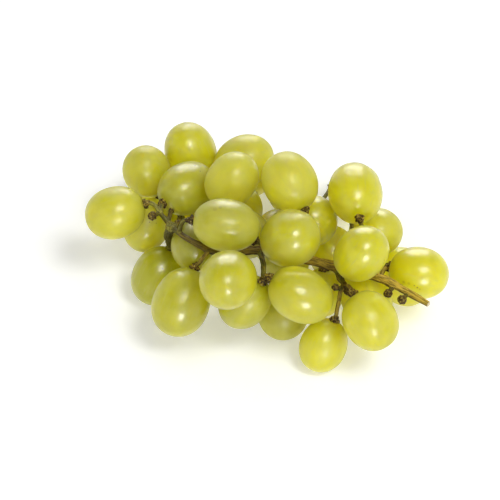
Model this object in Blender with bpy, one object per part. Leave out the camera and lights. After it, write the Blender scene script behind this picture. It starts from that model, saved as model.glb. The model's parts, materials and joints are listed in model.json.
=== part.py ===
# A bunch of table grapes lying down: oval berries on a branching stem.
#
# Frame: +X runs from the tip of the bunch toward the cut end of its stem, +Y away
# from the front of the bunch, +Z up. The origin is the bottom centre of the whole
# bunch. Every berry is a body of its own. The stem, with its side branches, its
# stalks and the collar at each berry, is one body.
#
# Tables are in millimetres, bodies in metres.

import math

import bmesh
import bpy
import numpy as np
from mathutils import Matrix, Vector

MM = 0.001

# Driving dimensions, in millimetres
TOUCH_GAP = 0.35
FLAT_DEPTH = 0.7
STALK_RADIUS = 0.85
LATERAL_RADIUS_MAX = 1.8
COLLAR_RADIUS = 1.9
COLLAR_NECK_RADIUS = 1.0
COLLAR_LENGTH = 1.5
COLLAR_GAP = 0.4
STUB_RADIUS = 0.9
STALK_CLEARANCE = 0.65
FLOOR_CLEARANCE = 1.2
STALK_LEAD = 4.2

# Main stem's radius: share of its length from the cut end, and radius
MAIN_STEM_RADII = [(0.0, 1.1), (0.15, 1.8), (0.4, 2.1), (0.65, 1.9), (0.8, 1.3), (0.93, 1.0), (1.0, 0.85)]

# Space that the stalks may use, its lowest and highest corner
STALK_SPACE = [(-66.0, -80.0, 2.6), (76.0, 44.0, 62.0)]

# The side from which the bunch is looked at, and the extra cost of a stalk that shows there
FRONT_ABOVE = (0.0, -1.0, 1.0)
SHOWING_COST = 2.5
HIDING_SHARE = 0.93

BERRY_SEGMENTS = 16
BERRY_RINGS = 8
COLLAR_SIDES = 8
STEM_STEP = 3.2
STALK_STEP = 2.4
GRID_STEP = 1.6
CHORD_ERROR = 0.3

# Each berry: middle x, y, z; length; width; direction of its stalk end; on the floor or not
BERRIES = {
    "berry_01": (-55.0, -15.0, 36.5, 25.0, 21.5, (0.95, 0.13, 0.27), False),
    "berry_02": (-42.5, 10.0, 35.0, 24.5, 20.0, (0.15, 0.25, -0.95), False),
    "berry_03": (-24.5, 20.5, 37.0, 26.0, 21.5, (0.3, -0.3, -0.9), False),
    "berry_04": (-2.0, 14.0, 37.5, 26.5, 21.5, (-0.8, 0.1, -0.6), False),
    "berry_05": (-26.0, -3.0, 39.0, 25.5, 21.0, (-0.75, -0.7, 0.0), False),
    "berry_06": (-7.5, -10.0, 50.0, 25.0, 20.5, (-0.55, -0.15, -0.85), False),
    "berry_07": (-9.5, -36.5, 50.5, 27.0, 21.0, (-1.0, 0.1, 0.1), False),
    "berry_08": (16.0, -16.5, 55.0, 25.5, 22.0, (0.47, -0.8, -0.44), False),
    "berry_09": (16.0, -39.5, 46.0, 27.5, 23.0, (-0.45, 0.5, -0.75), False),
    "berry_10": (26.0, -17.5, 34.5, 23.5, 19.5, (0.0, 0.25, -0.95), False),
    "berry_11": (42.5, -16.5, 49.0, 27.0, 22.0, (0.1, -1.0, -0.05), False),
    "berry_12": (51.5, -18.0, 28.5, 24.0, 20.0, (-0.6, 0.55, -0.55), False),
    "berry_13": (44.0, -47.0, 45.0, 25.0, 20.5, (-0.5, 0.05, -0.85), False),
    "berry_14": (68.0, -41.0, 28.0, 24.5, 21.0, (-0.95, 0.35, -0.1), False),
    "berry_15": (63.5, -26.0, 10.5, 25.5, 22.0, (-0.5, 0.8, 0.33), True),
    "berry_16": (47.0, -44.5, 18.0, 26.0, 21.0, (-0.25, 0.85, 0.3), False),
    "berry_17": (47.5, -68.0, 28.5, 24.5, 21.5, (-0.52, 0.67, 0.53), False),
    "berry_18": (20.0, -60.0, 35.0, 27.0, 21.5, (-0.9, 0.35, 0.35), False),
    "berry_19": (29.5, -64.0, 11.5, 22.5, 19.0, (0.38, 0.42, 0.82), True),
    "berry_20": (-8.5, -63.0, 46.5, 27.5, 22.5, (0.2, 0.9, -0.4), False),
    "berry_21": (-2.0, -54.5, 25.5, 24.5, 20.0, (0.55, 0.05, 0.85), False),
    "berry_22": (13.5, -45.5, 11.5, 23.5, 21.0, (0.05, 0.9, 0.4), True),
    "berry_23": (-27.5, -52.0, 22.5, 28.5, 23.0, (0.35, 0.65, 0.65), False),
    "berry_24": (-38.0, -25.0, 14.5, 25.5, 21.0, (0.4, 0.4, 0.8), True),
    "berry_25": (-21.0, -28.0, 31.5, 26.0, 21.5, (0.3, 0.95, -0.25), False),
    "berry_26": (-42.5, -5.5, 21.0, 23.5, 19.0, (0.4, 0.7, 0.5), False),
    "berry_27": (-27.5, 7.5, 11.5, 23.5, 19.5, (-0.3, -0.2, 0.95), True),
    "berry_28": (-4.5, 13.5, 12.0, 24.5, 20.0, (0.0, -0.35, 0.95), True),
    "berry_29": (11.0, -1.5, 12.0, 24.5, 20.0, (0.3, 0.9, 0.3), True),
    "berry_30": (35.0, -13.0, 12.0, 25.5, 21.0, (-0.5, 0.7, 0.5), True),
    "berry_31": (30.0, -34.0, 10.5, 21.0, 17.0, (0.0, 0.3, 0.95), True),
    "berry_32": (-21.5, 29.5, 12.5, 25.0, 21.5, (0.1, -0.7, 0.7), True),
    "berry_33": (-0.5, 34.5, 12.5, 25.0, 21.5, (-0.2, -0.6, 0.75), True),
    "berry_34": (17.5, 25.0, 12.5, 25.0, 20.5, (0.4, -0.45, 0.8), True),
    "berry_35": (45.0, 25.0, 12.5, 24.0, 21.0, (-0.8, -0.3, 0.5), True),
    "berry_36": (-1.5, -15.5, 24.5, 23.5, 20.0, (0.3, -0.8, 0.5), False),
    "berry_37": (15.0, -22.5, 15.5, 22.5, 18.5, (-0.1, -0.2, 0.95), False),
    "berry_38": (-19.0, -16.5, 11.5, 23.0, 20.0, (0.3, 0.3, 0.9), True),
    "berry_39": (44.5, 8.5, 28.0, 23.5, 20.0, (-0.3, -0.8, 0.5), False),
    "berry_40": (15.0, 10.0, 29.5, 23.0, 19.5, (-0.2, -0.9, 0.3), False),
    "berry_41": (-41.0, 27.5, 14.5, 24.0, 20.5, (0.3, -0.8, 0.5), False),
}

# Main stem, from its cut end to the tip of the bunch
MAIN_STEM = [
    (71.0, -59.0, 28.5), (64.5, -54.5, 29.5), (60.0, -52.0, 30.5), (54.0, -48.5, 31.5),
    (49.5, -46.0, 31.0), (42.0, -42.5, 31.0), (34.0, -40.5, 31.0), (25.0, -37.0, 31.0),
    (15.0, -34.5, 31.5), (5.0, -33.0, 33.0), (-6.0, -36.5, 36.0), (-15.0, -40.0, 39.0),
    (-22.0, -39.5, 43.5), (-28.0, -33.5, 42.5), (-32.0, -26.5, 40.0), (-34.5, -22.0, 40.0),
    (-36.5, -19.0, 40.5),
]

# Stalks whose way to their berry is laid by hand
LAID_STALKS = {
    "berry_01": [(-36.5, -19.0, 40.5), (-38.0, -16.0, 40.5), (-39.5, -13.5, 40.8)],
    "berry_05": [(-36.5, -19.0, 40.5), (-36.0, -16.0, 40.5)],
    "berry_07": [(-29.0, -32.5, 42.5), (-27.5, -33.0, 47.5), (-26.5, -34.0, 51.0)],
    "berry_24": [(-32.0, -26.5, 38.5), (-33.0, -24.5, 33.5)],
    "berry_23": [(-17.0, -40.5, 40.5), (-18.5, -42.5, 38.5), (-20.0, -43.5, 36.5)],
    "berry_21": [(5.0, -33.0, 33.0), (5.0, -39.5, 34.0), (5.5, -46.0, 36.0)],
    "berry_08": [(21.5, -35.0, 31.0), (22.5, -30.5, 37.0), (23.0, -29.0, 43.5)],
    "berry_11": [(41.0, -42.5, 31.0), (43.0, -39.0, 32.0), (44.5, -34.0, 37.0), (45.0, -32.0, 44.5)],
    "berry_14": [(52.0, -47.0, 31.5), (53.5, -40.5, 29.0)],
    "berry_17": [(35.0, -41.0, 31.0), (35.5, -44.0, 29.5), (38.0, -49.5, 29.5), (38.5, -53.5, 33.0), (39.0, -56.5, 36.5)],
    "berry_19": [(38.0, -49.5, 29.5), (36.0, -52.5, 29.5), (35.5, -55.5, 27.0)],
}

# Short bare stubs that have lost their berry: start, end and radius of the knob there
STUBS = [
    ((-36.5, -19.0, 40.5), (-39.5, -22.0, 41.5), 1.8),
    ((-29.5, -29.5, 41.5), (-29.0, -26.0, 41.5), 1.3),
    ((-32.0, -22.5, 39.5), (-32.0, -17.5, 40.0), 1.2),
    ((36.0, -52.5, 29.5), (34.0, -53.0, 32.0), 1.5),
    ((38.0, -49.5, 29.5), (39.0, -52.5, 29.0), 1.5),
    ((56.5, -50.0, 31.0), (55.0, -54.0, 29.5), 1.8),
    ((62.0, -53.0, 30.0), (60.5, -57.0, 29.0), 1.9),
]


def unit(vector):
    """The vector at length one."""
    array = np.array(vector, dtype=float)
    return array / np.linalg.norm(array)


def reach(axis, half_width, half_length, direction):
    """How far an oval berry reaches from its middle in a direction."""
    along = float(axis @ direction)
    return math.sqrt(half_width ** 2 * (1.0 - along ** 2) + half_length ** 2 * along ** 2)


def settle_berries():
    """Middles of the berries with every pair a touch apart, the floor berries sunk to their flat."""
    names = list(BERRIES)
    middles = np.array([BERRIES[name][0:3] for name in names])
    half_length = np.array([BERRIES[name][3] / 2.0 for name in names])
    half_width = np.array([BERRIES[name][4] / 2.0 for name in names])
    axes = np.array([unit(BERRIES[name][5]) for name in names])
    on_floor = np.array([BERRIES[name][6] for name in names])
    down = np.array([0.0, 0.0, -1.0])
    depth = unit(FRONT_ABOVE)
    count = len(names)
    below = np.array([reach(axes[i], half_width[i], half_length[i], down) for i in range(count)])
    for _ in range(300):
        moved = 0.0
        for i in range(count):
            for j in range(i + 1, count):
                apart = middles[i] - middles[j]
                distance = np.linalg.norm(apart)
                if distance > 30.0:
                    continue
                line = apart / distance
                room = distance - reach(axes[i], half_width[i], half_length[i], line)
                room -= reach(axes[j], half_width[j], half_length[j], line)
                if room >= TOUCH_GAP:
                    continue
                push = 0.35 * line + 0.65 * depth * float(line @ depth)
                push *= (TOUCH_GAP + 0.01 - room) / float(push @ line)
                middles[i] += 0.5 * push
                middles[j] -= 0.5 * push
                moved = max(moved, TOUCH_GAP - room)
        middles[:, 2] = np.where(on_floor, below - FLAT_DEPTH, np.maximum(middles[:, 2], below + 0.3))
        if moved < 0.02:
            break
    return names, middles, axes, half_width, half_length


def free_room(points, middles, axes, half_width, half_length):
    """Room from each point to the nearest berry's surface, and the way out of that berry."""
    best = np.full(len(points), 1e9)
    away = np.zeros((len(points), 3))
    for middle, axis, wide, long in zip(middles, axes, half_width, half_length):
        offset = points - middle
        along = offset @ axis
        across2 = np.maximum((offset ** 2).sum(axis=1) - along ** 2, 0.0)
        scale = np.sqrt(along ** 2 / long ** 2 + across2 / wide ** 2) + 1e-9
        length = np.sqrt((offset ** 2).sum(axis=1)) + 1e-9
        room = length * (1.0 - 1.0 / scale)
        nearer = room < best
        best[nearer] = room[nearer]
        normal = (offset - along[:, None] * axis) / wide ** 2 + along[:, None] * axis / long ** 2
        normal /= np.linalg.norm(normal, axis=1)[:, None] + 1e-12
        away[nearer] = normal[nearer]
    return best, away


def resample(points, step):
    """The polyline, rounded at its corners, at about equal steps."""
    path = np.array(points, dtype=float)
    for _ in range(2):
        cut = [path[0]]
        for a, b in zip(path[:-1], path[1:]):
            cut.append(a * 0.75 + b * 0.25)
            cut.append(a * 0.25 + b * 0.75)
        cut.append(path[-1])
        path = np.array(cut)
    legs = np.linalg.norm(np.diff(path, axis=0), axis=1)
    run = np.concatenate([[0.0], np.cumsum(legs)])
    count = max(2, int(round(run[-1] / step)) + 1)
    at = np.linspace(0.0, run[-1], count)
    return np.stack([np.interp(at, run, path[:, k]) for k in range(3)], axis=1)


def simplify(points, error):
    """Indices of the fewest points that keep a polyline within an error of the whole."""
    keep = [0, len(points) - 1]
    queue = [(0, len(points) - 1)]
    while queue:
        first, last = queue.pop()
        if last - first < 2:
            continue
        chord = points[last] - points[first]
        inner = points[first + 1:last] - points[first]
        share = np.clip(inner @ chord / float(chord @ chord), 0.0, 1.0)
        off = np.linalg.norm(inner - share[:, None] * chord, axis=1)
        worst = int(np.argmax(off))
        if off[worst] > error:
            middle = first + 1 + worst
            keep.append(middle)
            queue.append((first, middle))
            queue.append((middle, last))
    return sorted(keep)


class StemTree:
    """Nodes of the stem: place, parent, and whether the place was laid by hand."""

    def __init__(self):
        self.place = []
        self.parent = []
        self.held = []
        self.kind = []

    def add(self, place, parent, held, kind):
        self.place.append(np.array(place, dtype=float))
        self.parent.append(parent)
        self.held.append(held)
        self.kind.append(kind)
        return len(self.place) - 1

    def nearest(self, point):
        gaps = [np.linalg.norm(p - np.array(point)) for p in self.place]
        return int(np.argmin(gaps))


def stalk_end(middle, axis, long):
    """Where the stalk meets the collar of a berry, and the free point it comes from."""
    tip = middle + axis * long
    return tip + axis * (COLLAR_GAP + 0.45 * COLLAR_LENGTH), tip + axis * STALK_LEAD


def showing(points, middles, half_width):
    """Which points no berry hides from the side that the bunch is looked at."""
    toward = unit(FRONT_ABOVE)
    seen = np.ones(len(points), dtype=bool)
    for middle, wide in zip(middles, half_width):
        offset = points - middle
        nearness = offset @ toward
        across2 = (offset ** 2).sum(axis=1) - nearness ** 2
        seen &= (nearness > 0.0) | (across2 > (HIDING_SHARE * wide) ** 2)
    return seen


def cost_field(middles, axes, half_width, half_length):
    """Cost per millimetre of running a stalk through each node of a grid round the bunch.

    It rises close to a berry and inside one, out in the open, and where a stalk would show.
    """
    low = np.array(STALK_SPACE[0])
    high = np.array(STALK_SPACE[1])
    counts = np.floor((high - low) / GRID_STEP).astype(int) + 1
    steps = [low[k] + GRID_STEP * np.arange(counts[k]) for k in range(3)]
    mesh = np.stack(np.meshgrid(*steps, indexing="ij"), axis=-1)
    points = mesh.reshape(-1, 3)
    room, _ = free_room(points, middles, axes, half_width, half_length)
    short = np.maximum(STALK_RADIUS + STALK_CLEARANCE - room, 0.0)
    cost = 1.0 + 10.0 * short ** 2 + 0.6 / np.maximum(room, 0.5) + np.where(room > 9.0, 1.5, 0.0)
    cost += np.where(showing(points, middles, half_width), SHOWING_COST, 0.0)
    return low, mesh, cost.reshape(counts)


def spread(cost, source):
    """Least cost from the stem to every node of the grid, by passing it on between neighbours."""
    best = np.full(cost.shape, 1e6, dtype=float)
    best[source] = 0.0
    shifts = [(i, j, k) for i in (-1, 0, 1) for j in (-1, 0, 1) for k in (-1, 0, 1) if (i, j, k) != (0, 0, 0)]
    for _ in range(200):
        before = best.copy()
        for shift in shifts:
            here = tuple(slice(max(0, s), n + min(0, s)) for s, n in zip(shift, cost.shape))
            there = tuple(slice(max(0, -s), n + min(0, -s)) for s, n in zip(shift, cost.shape))
            leg = GRID_STEP * math.sqrt(sum(s * s for s in shift))
            passed = best[there] + leg * 0.5 * (cost[here] + cost[there])
            np.minimum(best[here], passed, out=best[here])
        if np.array_equal(before, best):
            break
    return best, shifts


def node_index(point, low, shape):
    """The grid node nearest to a point."""
    index = np.round((np.array(point) - low) / GRID_STEP).astype(int)
    return tuple(int(min(max(i, 0), n - 1)) for i, n in zip(index, shape))


def grow_stem(names, middles, axes, half_width, half_length):
    """The stem as a tree: the main stem, the laid stalks, then the rest along the easiest ways."""
    tree = StemTree()
    last = -1
    for point in resample(MAIN_STEM, STEM_STEP):
        last = tree.add(point, last, True, "main")
    for name, way in LAID_STALKS.items():
        i = names.index(name)
        end, _ = stalk_end(middles[i], axes[i], half_length[i])
        start = tree.nearest(way[0])
        path = resample([tree.place[start]] + list(way[1:]) + [end], STALK_STEP)
        last = start
        for k, point in enumerate(path[1:]):
            final = k == len(path) - 2
            last = tree.add(point, last, True, "end" if final else "stalk")
    low, mesh, cost = cost_field(middles, axes, half_width, half_length)
    source = np.zeros(cost.shape, dtype=bool)
    for point, kind in zip(tree.place, tree.kind):
        if kind != "end":
            source[node_index(point, low, cost.shape)] = True
    best, shifts = spread(cost, source)
    known = {}
    for i, name in enumerate(names):
        if name in LAID_STALKS:
            continue
        end, before = stalk_end(middles[i], axes[i], half_length[i])
        here = node_index(before, low, cost.shape)
        chain = [here]
        while best[here] > 0.0 and here not in known and len(chain) < 400:
            options = []
            for shift in shifts:
                there = tuple(a + s for a, s in zip(here, shift))
                if min(there) < 0 or any(t >= n for t, n in zip(there, cost.shape)):
                    continue
                leg = GRID_STEP * math.sqrt(sum(s * s for s in shift))
                options.append((best[there] + leg * 0.5 * (cost[here] + cost[there]), there))
            here = min(options)[1]
            chain.append(here)
        joined = known.get(here)
        if joined is None:
            joined = tree.nearest(mesh[here])
        last = joined
        for node in reversed(chain):
            if node in known:
                last = known[node]
                continue
            if best[node] == 0.0:
                known[node] = last
                continue
            last = tree.add(mesh[node], last, False, "stalk")
            known[node] = last
        tree.add(end, last, True, "end")
    relax_tree(tree, middles, axes, half_width, half_length)
    return tree


def relax_tree(tree, middles, axes, half_width, half_length):
    """Draws the free stalks smooth and pushes every node clear of the berries."""
    place = np.array(tree.place)
    parent = np.array(tree.parent)
    held = np.array(tree.held)
    fixed_end = np.array([kind == "end" for kind in tree.kind])
    radius = node_radius(tree)
    has = parent >= 0
    for step in range(160):
        total = np.zeros_like(place)
        count = np.zeros(len(place))
        np.add.at(total, np.where(has)[0], place[parent[has]])
        np.add.at(count, np.where(has)[0], 1.0)
        np.add.at(total, parent[has], place[has])
        np.add.at(count, parent[has], 1.0)
        target = total / count[:, None]
        pull = np.where(held, 0.0, 0.35)
        if step > 130:
            pull = pull * 0.3
        place += pull[:, None] * (target - place)
        for _ in range(3):
            room, away = free_room(place, middles, axes, half_width, half_length)
            lack = np.where(fixed_end, 0.0, np.maximum(radius + TOUCH_GAP + 0.1 - room, 0.0))
            place += 0.7 * lack[:, None] * away
        lowest = radius + FLOOR_CLEARANCE
        place[:, 2] = np.where(fixed_end, place[:, 2], np.maximum(place[:, 2], lowest))
    tree.place = list(place)


def node_radius(tree):
    """Radius at each node: the main stem's own profile, and branches that thicken with their load."""
    load = np.zeros(len(tree.place))
    children = [0] * len(tree.place)
    for parent in tree.parent:
        if parent >= 0:
            children[parent] += 1
    for i in range(len(tree.place)):
        if children[i] == 0:
            walk = i
            while walk >= 0:
                load[walk] += 1.0
                walk = tree.parent[walk]
    radius = np.minimum(STALK_RADIUS * load ** 0.35, LATERAL_RADIUS_MAX)
    mains = [i for i, kind in enumerate(tree.kind) if kind == "main"]
    shares = [share for share, _ in MAIN_STEM_RADII]
    radii = [wide for _, wide in MAIN_STEM_RADII]
    radius[mains] = np.interp(np.linspace(0.0, 1.0, len(mains)), shares, radii)
    return radius


def chains_of(tree):
    """The tree cut at its forks into runs of nodes, each starting on its parent run."""
    children = {}
    for i, parent in enumerate(tree.parent):
        children.setdefault(parent, []).append(i)
    runs = []
    mains = [i for i, kind in enumerate(tree.kind) if kind == "main"]
    runs.append(mains)
    main_set = set(mains)
    for i, parent in enumerate(tree.parent):
        if i in main_set:
            continue
        starts_here = parent in main_set or len(children.get(parent, [])) > 1
        if not starts_here:
            continue
        run = [parent, i]
        while len(children.get(run[-1], [])) == 1:
            run.append(children[run[-1]][0])
        runs.append(run)
    return runs


def new_collection(name):
    """A collection of that name in the scene."""
    group = bpy.data.collections.new(name)
    bpy.context.scene.collection.children.link(group)
    return group


def material(name, colour, roughness):
    """A plain surface of one colour."""
    surface = bpy.data.materials.new(name)
    surface.use_nodes = True
    shader = surface.node_tree.nodes["Principled BSDF"]
    shader.inputs["Base Color"].default_value = (*colour, 1.0)
    shader.inputs["Roughness"].default_value = roughness
    shader.inputs["Metallic"].default_value = 0.0
    return surface


def tube(points, radii, name):
    """A closed round tube through the points, as a mesh object."""
    curve = bpy.data.curves.new(name, "CURVE")
    curve.dimensions = "3D"
    curve.bevel_depth = 1.0
    curve.bevel_resolution = 1
    curve.use_fill_caps = True
    spline = curve.splines.new("POLY")
    spline.points.add(len(points) - 1)
    for point, place, radius in zip(spline.points, points, radii):
        point.co = (place[0] * MM, place[1] * MM, place[2] * MM, 1.0)
        point.radius = radius * MM
    holder = bpy.data.objects.new(name, curve)
    bpy.context.scene.collection.objects.link(holder)
    bpy.context.view_layer.update()
    graph = bpy.context.evaluated_depsgraph_get()
    mesh = bpy.data.meshes.new_from_object(holder.evaluated_get(graph))
    mesh.transform(holder.matrix_world)
    bpy.data.objects.remove(holder)
    shape = bmesh.new()
    shape.from_mesh(mesh)
    bmesh.ops.remove_doubles(shape, verts=shape.verts, dist=0.00002)
    bmesh.ops.recalc_face_normals(shape, faces=shape.faces)
    shape.to_mesh(mesh)
    shape.free()
    return bpy.data.objects.new(name, mesh)


def collar(middle, axis, long, name):
    """The little woody cup between a stalk and its berry."""
    shape = bmesh.new()
    bmesh.ops.create_cone(
        shape, cap_ends=True, segments=COLLAR_SIDES,
        radius1=COLLAR_RADIUS * MM, radius2=COLLAR_NECK_RADIUS * MM, depth=COLLAR_LENGTH * MM)
    mesh = bpy.data.meshes.new(name)
    shape.to_mesh(mesh)
    shape.free()
    cup = bpy.data.objects.new(name, mesh)
    centre = middle + axis * (long + COLLAR_GAP + COLLAR_LENGTH / 2.0)
    turn = Vector((0.0, 0.0, 1.0)).rotation_difference(Vector(axis))
    cup.matrix_world = Matrix.Translation(Vector(centre) * MM) @ turn.to_matrix().to_4x4()
    return cup


def knob(place, radius, name):
    """A small round woody knob at the end of a bare stub."""
    shape = bmesh.new()
    bmesh.ops.create_icosphere(shape, subdivisions=1, radius=radius * MM)
    mesh = bpy.data.meshes.new(name)
    shape.to_mesh(mesh)
    shape.free()
    ball = bpy.data.objects.new(name, mesh)
    ball.location = Vector(place) * MM
    return ball


def make_berry(name, middle, axis, wide, long, on_floor, surface):
    """An oval berry, its stalk end along its own +Z, cut flat where it stands on the floor."""
    shape = bmesh.new()
    bmesh.ops.create_uvsphere(
        shape, u_segments=BERRY_SEGMENTS, v_segments=BERRY_RINGS, radius=1.0,
        matrix=Matrix.Diagonal((wide * MM, wide * MM, long * MM, 1.0)))
    turn = Vector((0.0, 0.0, 1.0)).rotation_difference(Vector(axis))
    if on_floor:
        to_world = Matrix.Translation(Vector(middle) * MM) @ turn.to_matrix().to_4x4()
        back = to_world.inverted()
        plane_point = back @ Vector((middle[0] * MM, middle[1] * MM, 0.0))
        plane_normal = turn.to_matrix().inverted() @ Vector((0.0, 0.0, 1.0))
        whole = list(shape.verts) + list(shape.edges) + list(shape.faces)
        cut = bmesh.ops.bisect_plane(
            shape, geom=whole, plane_co=plane_point, plane_no=plane_normal, dist=0.00001,
            clear_inner=True)
        rim = [piece for piece in cut["geom_cut"] if isinstance(piece, bmesh.types.BMEdge)]
        bmesh.ops.contextual_create(shape, geom=rim)
        bmesh.ops.recalc_face_normals(shape, faces=shape.faces)
    mesh = bpy.data.meshes.new(name)
    shape.to_mesh(mesh)
    shape.free()
    mesh.shade_smooth()
    mesh.materials.append(surface)
    berry = bpy.data.objects.new(name, mesh)
    berry.rotation_mode = "QUATERNION"
    berry.rotation_quaternion = turn
    berry.location = Vector(middle) * MM
    return berry


def make_stem(tree, names, middles, axes, half_length, cutters, surface):
    """Main stem, branches, stalks, collars and stubs joined in one body."""
    radius = node_radius(tree)
    runs = chains_of(tree)
    pieces = []
    for order, run in enumerate(runs):
        places = np.array([tree.place[node] for node in run])
        widths = np.array([radius[node] for node in run])
        picks = simplify(places, CHORD_ERROR)
        points = places[picks]
        radii = widths[picks]
        if order > 0:
            radii[0] = radii[1]
        pieces.append(tube(points, radii, "run_%02d" % order))
    for i, name in enumerate(names):
        pieces.append(collar(middles[i], axes[i], half_length[i], "collar_" + name))
    for order, (start, end, knob_radius) in enumerate(STUBS):
        anchor = tree.place[tree.nearest(start)]
        bent = [anchor, (anchor + np.array(end)) * 0.5, np.array(end)]
        pieces.append(tube(bent, [STUB_RADIUS] * 3, "stub_%02d" % order))
        pieces.append(knob(end, knob_radius, "knob_%02d" % order))
    base = pieces[0]
    bpy.context.scene.collection.objects.link(base)
    for piece in pieces[1:]:
        cutters.objects.link(piece)
        piece.hide_render = True
        piece.display_type = "WIRE"
    bpy.context.view_layer.update()
    union = base.modifiers.new("join", "BOOLEAN")
    union.operation = "UNION"
    union.operand_type = "COLLECTION"
    union.collection = cutters
    union.solver = "MANIFOLD"
    graph = bpy.context.evaluated_depsgraph_get()
    mesh = bpy.data.meshes.new_from_object(base.evaluated_get(graph))
    for piece in pieces[1:]:
        bpy.data.objects.remove(piece)
    bpy.data.objects.remove(base)
    mesh.materials.clear()
    mesh.materials.append(surface)
    mesh.name = "stem"
    return bpy.data.objects.new("stem", mesh)


def plan_middle(objects):
    """Middle of the whole bunch in X and Y, in metres."""
    corners = []
    for item in objects:
        for vert in item.data.vertices:
            corners.append((item.matrix_world @ vert.co)[:2])
    corners = np.array(corners)
    middle = (corners.min(axis=0) + corners.max(axis=0)) / 2.0
    return Vector((float(middle[0]), float(middle[1]), 0.0))


def build():
    for item in list(bpy.data.objects):
        bpy.data.objects.remove(item)
    bunch = new_collection("grape_bunch")
    cutters = new_collection("stem_pieces")
    skin = material("berry_skin", (0.55, 0.58, 0.12), 0.3)
    wood = material("stem_wood", (0.3, 0.2, 0.06), 0.65)
    names, middles, axes, half_width, half_length = settle_berries()
    tree = grow_stem(names, middles, axes, half_width, half_length)
    made = []
    for i, name in enumerate(names):
        made.append(make_berry(
            name, middles[i], axes[i], half_width[i], half_length[i], BERRIES[name][6], skin))
    made.append(make_stem(tree, names, middles, axes, half_length, cutters, wood))
    for item in made:
        bunch.objects.link(item)
    bpy.context.view_layer.update()
    shift = plan_middle(made)
    for item in made:
        item.location -= shift
    bpy.context.view_layer.update()


build()
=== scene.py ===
"""A bunch of white table grapes lying on a pale studio floor.

Every berry is an oval worked out on a grid of two angles. The stem grows from its cut end
to the berries as a tree, is swept as tubes, fused and given its bark.
Tables are in millimetres, finished pieces in metres.
"""

import itertools
import json
import math
from collections import namedtuple

import bpy
import numpy as np
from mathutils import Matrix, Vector

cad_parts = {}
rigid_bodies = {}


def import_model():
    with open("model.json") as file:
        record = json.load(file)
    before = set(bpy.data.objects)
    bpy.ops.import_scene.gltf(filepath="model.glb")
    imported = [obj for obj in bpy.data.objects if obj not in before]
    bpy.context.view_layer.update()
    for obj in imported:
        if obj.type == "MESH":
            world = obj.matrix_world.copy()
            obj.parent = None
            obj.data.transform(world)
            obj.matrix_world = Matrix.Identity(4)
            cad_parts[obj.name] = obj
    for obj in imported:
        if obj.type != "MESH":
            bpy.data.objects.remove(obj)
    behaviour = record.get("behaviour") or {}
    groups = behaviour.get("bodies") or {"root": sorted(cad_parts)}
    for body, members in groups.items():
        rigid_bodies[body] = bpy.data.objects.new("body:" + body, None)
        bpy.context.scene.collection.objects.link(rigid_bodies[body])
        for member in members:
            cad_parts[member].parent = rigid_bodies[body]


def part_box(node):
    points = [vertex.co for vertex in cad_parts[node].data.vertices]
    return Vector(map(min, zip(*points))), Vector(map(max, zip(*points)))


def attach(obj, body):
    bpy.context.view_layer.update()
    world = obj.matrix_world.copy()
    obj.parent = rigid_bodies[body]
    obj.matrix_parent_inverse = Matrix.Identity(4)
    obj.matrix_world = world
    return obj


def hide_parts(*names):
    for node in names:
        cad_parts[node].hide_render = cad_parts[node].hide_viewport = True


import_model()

bl_info = {
    "name": "Bunch of Grapes",
    "version": (1, 0, 0),
    "blender": (4, 5, 0),
    "location": "3D View > Sidebar > Grapes",
    "description": "Builds a bunch of white table grapes, its stem and a studio round it",
    "category": "Add Mesh",
}

MM = 0.001

# How far the tables' own origin lies from the middle of the finished bunch
PLAN_SHIFT = np.array([-6.376, 15.797, 0.0])

# Fits between the pieces, shared with the solids
TOUCH_GAP = 0.35
FLAT_DEPTH = 0.7
STALK_RADIUS = 0.85
LATERAL_RADIUS_MAX = 1.8
COLLAR_LENGTH = 1.5
COLLAR_GAP = 0.4
STALK_CLEARANCE = 0.65
FLOOR_CLEARANCE = 1.2
STALK_LEAD = 4.2
STALK_DEPTH = 0.45
STEM_STEP = 3.2
STALK_STEP = 2.4
GRID_STEP = 1.6
LOAD_POWER = 0.35

# Cost of a way: in tight places, near a berry, and out in the open, with limits to the search
TIGHT_COST = 10.0
NEAR_COST = 0.6
LEAST_ROOM = 0.5
OPEN_ROOM = 9.0
OPEN_COST = 1.5
SPREAD_ROUNDS = 200
LONGEST_CHAIN = 400
UNREACHED = 1e6

# How the stalks are drawn smooth and pushed clear, more gently at the end
RELAX_ROUNDS = 160
PULL = 0.35
SETTLE_ROUND = 130
SETTLE_SHARE = 0.3
PUSH = 0.7
PUSH_GAP = 0.1

# Main stem's radius: share of its length from the cut end, and radius
MAIN_STEM_RADII = [
    (0.0, 1.1), (0.15, 1.8), (0.4, 2.1), (0.65, 1.9), (0.8, 1.3), (0.93, 1.0), (1.0, 0.85),
]

# Space that the stalks may use, its lowest and highest corner
STALK_SPACE = [(-66.0, -80.0, 2.6), (76.0, 44.0, 62.0)]

# The side from which the bunch is looked at, the extra cost of a stalk that shows there, and
# the share of a berry's half width that hides one
FRONT_ABOVE = (0.0, -1.0, 1.0)
SHOWING_COST = 2.5
HIDING_SHARE = 0.93

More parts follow.
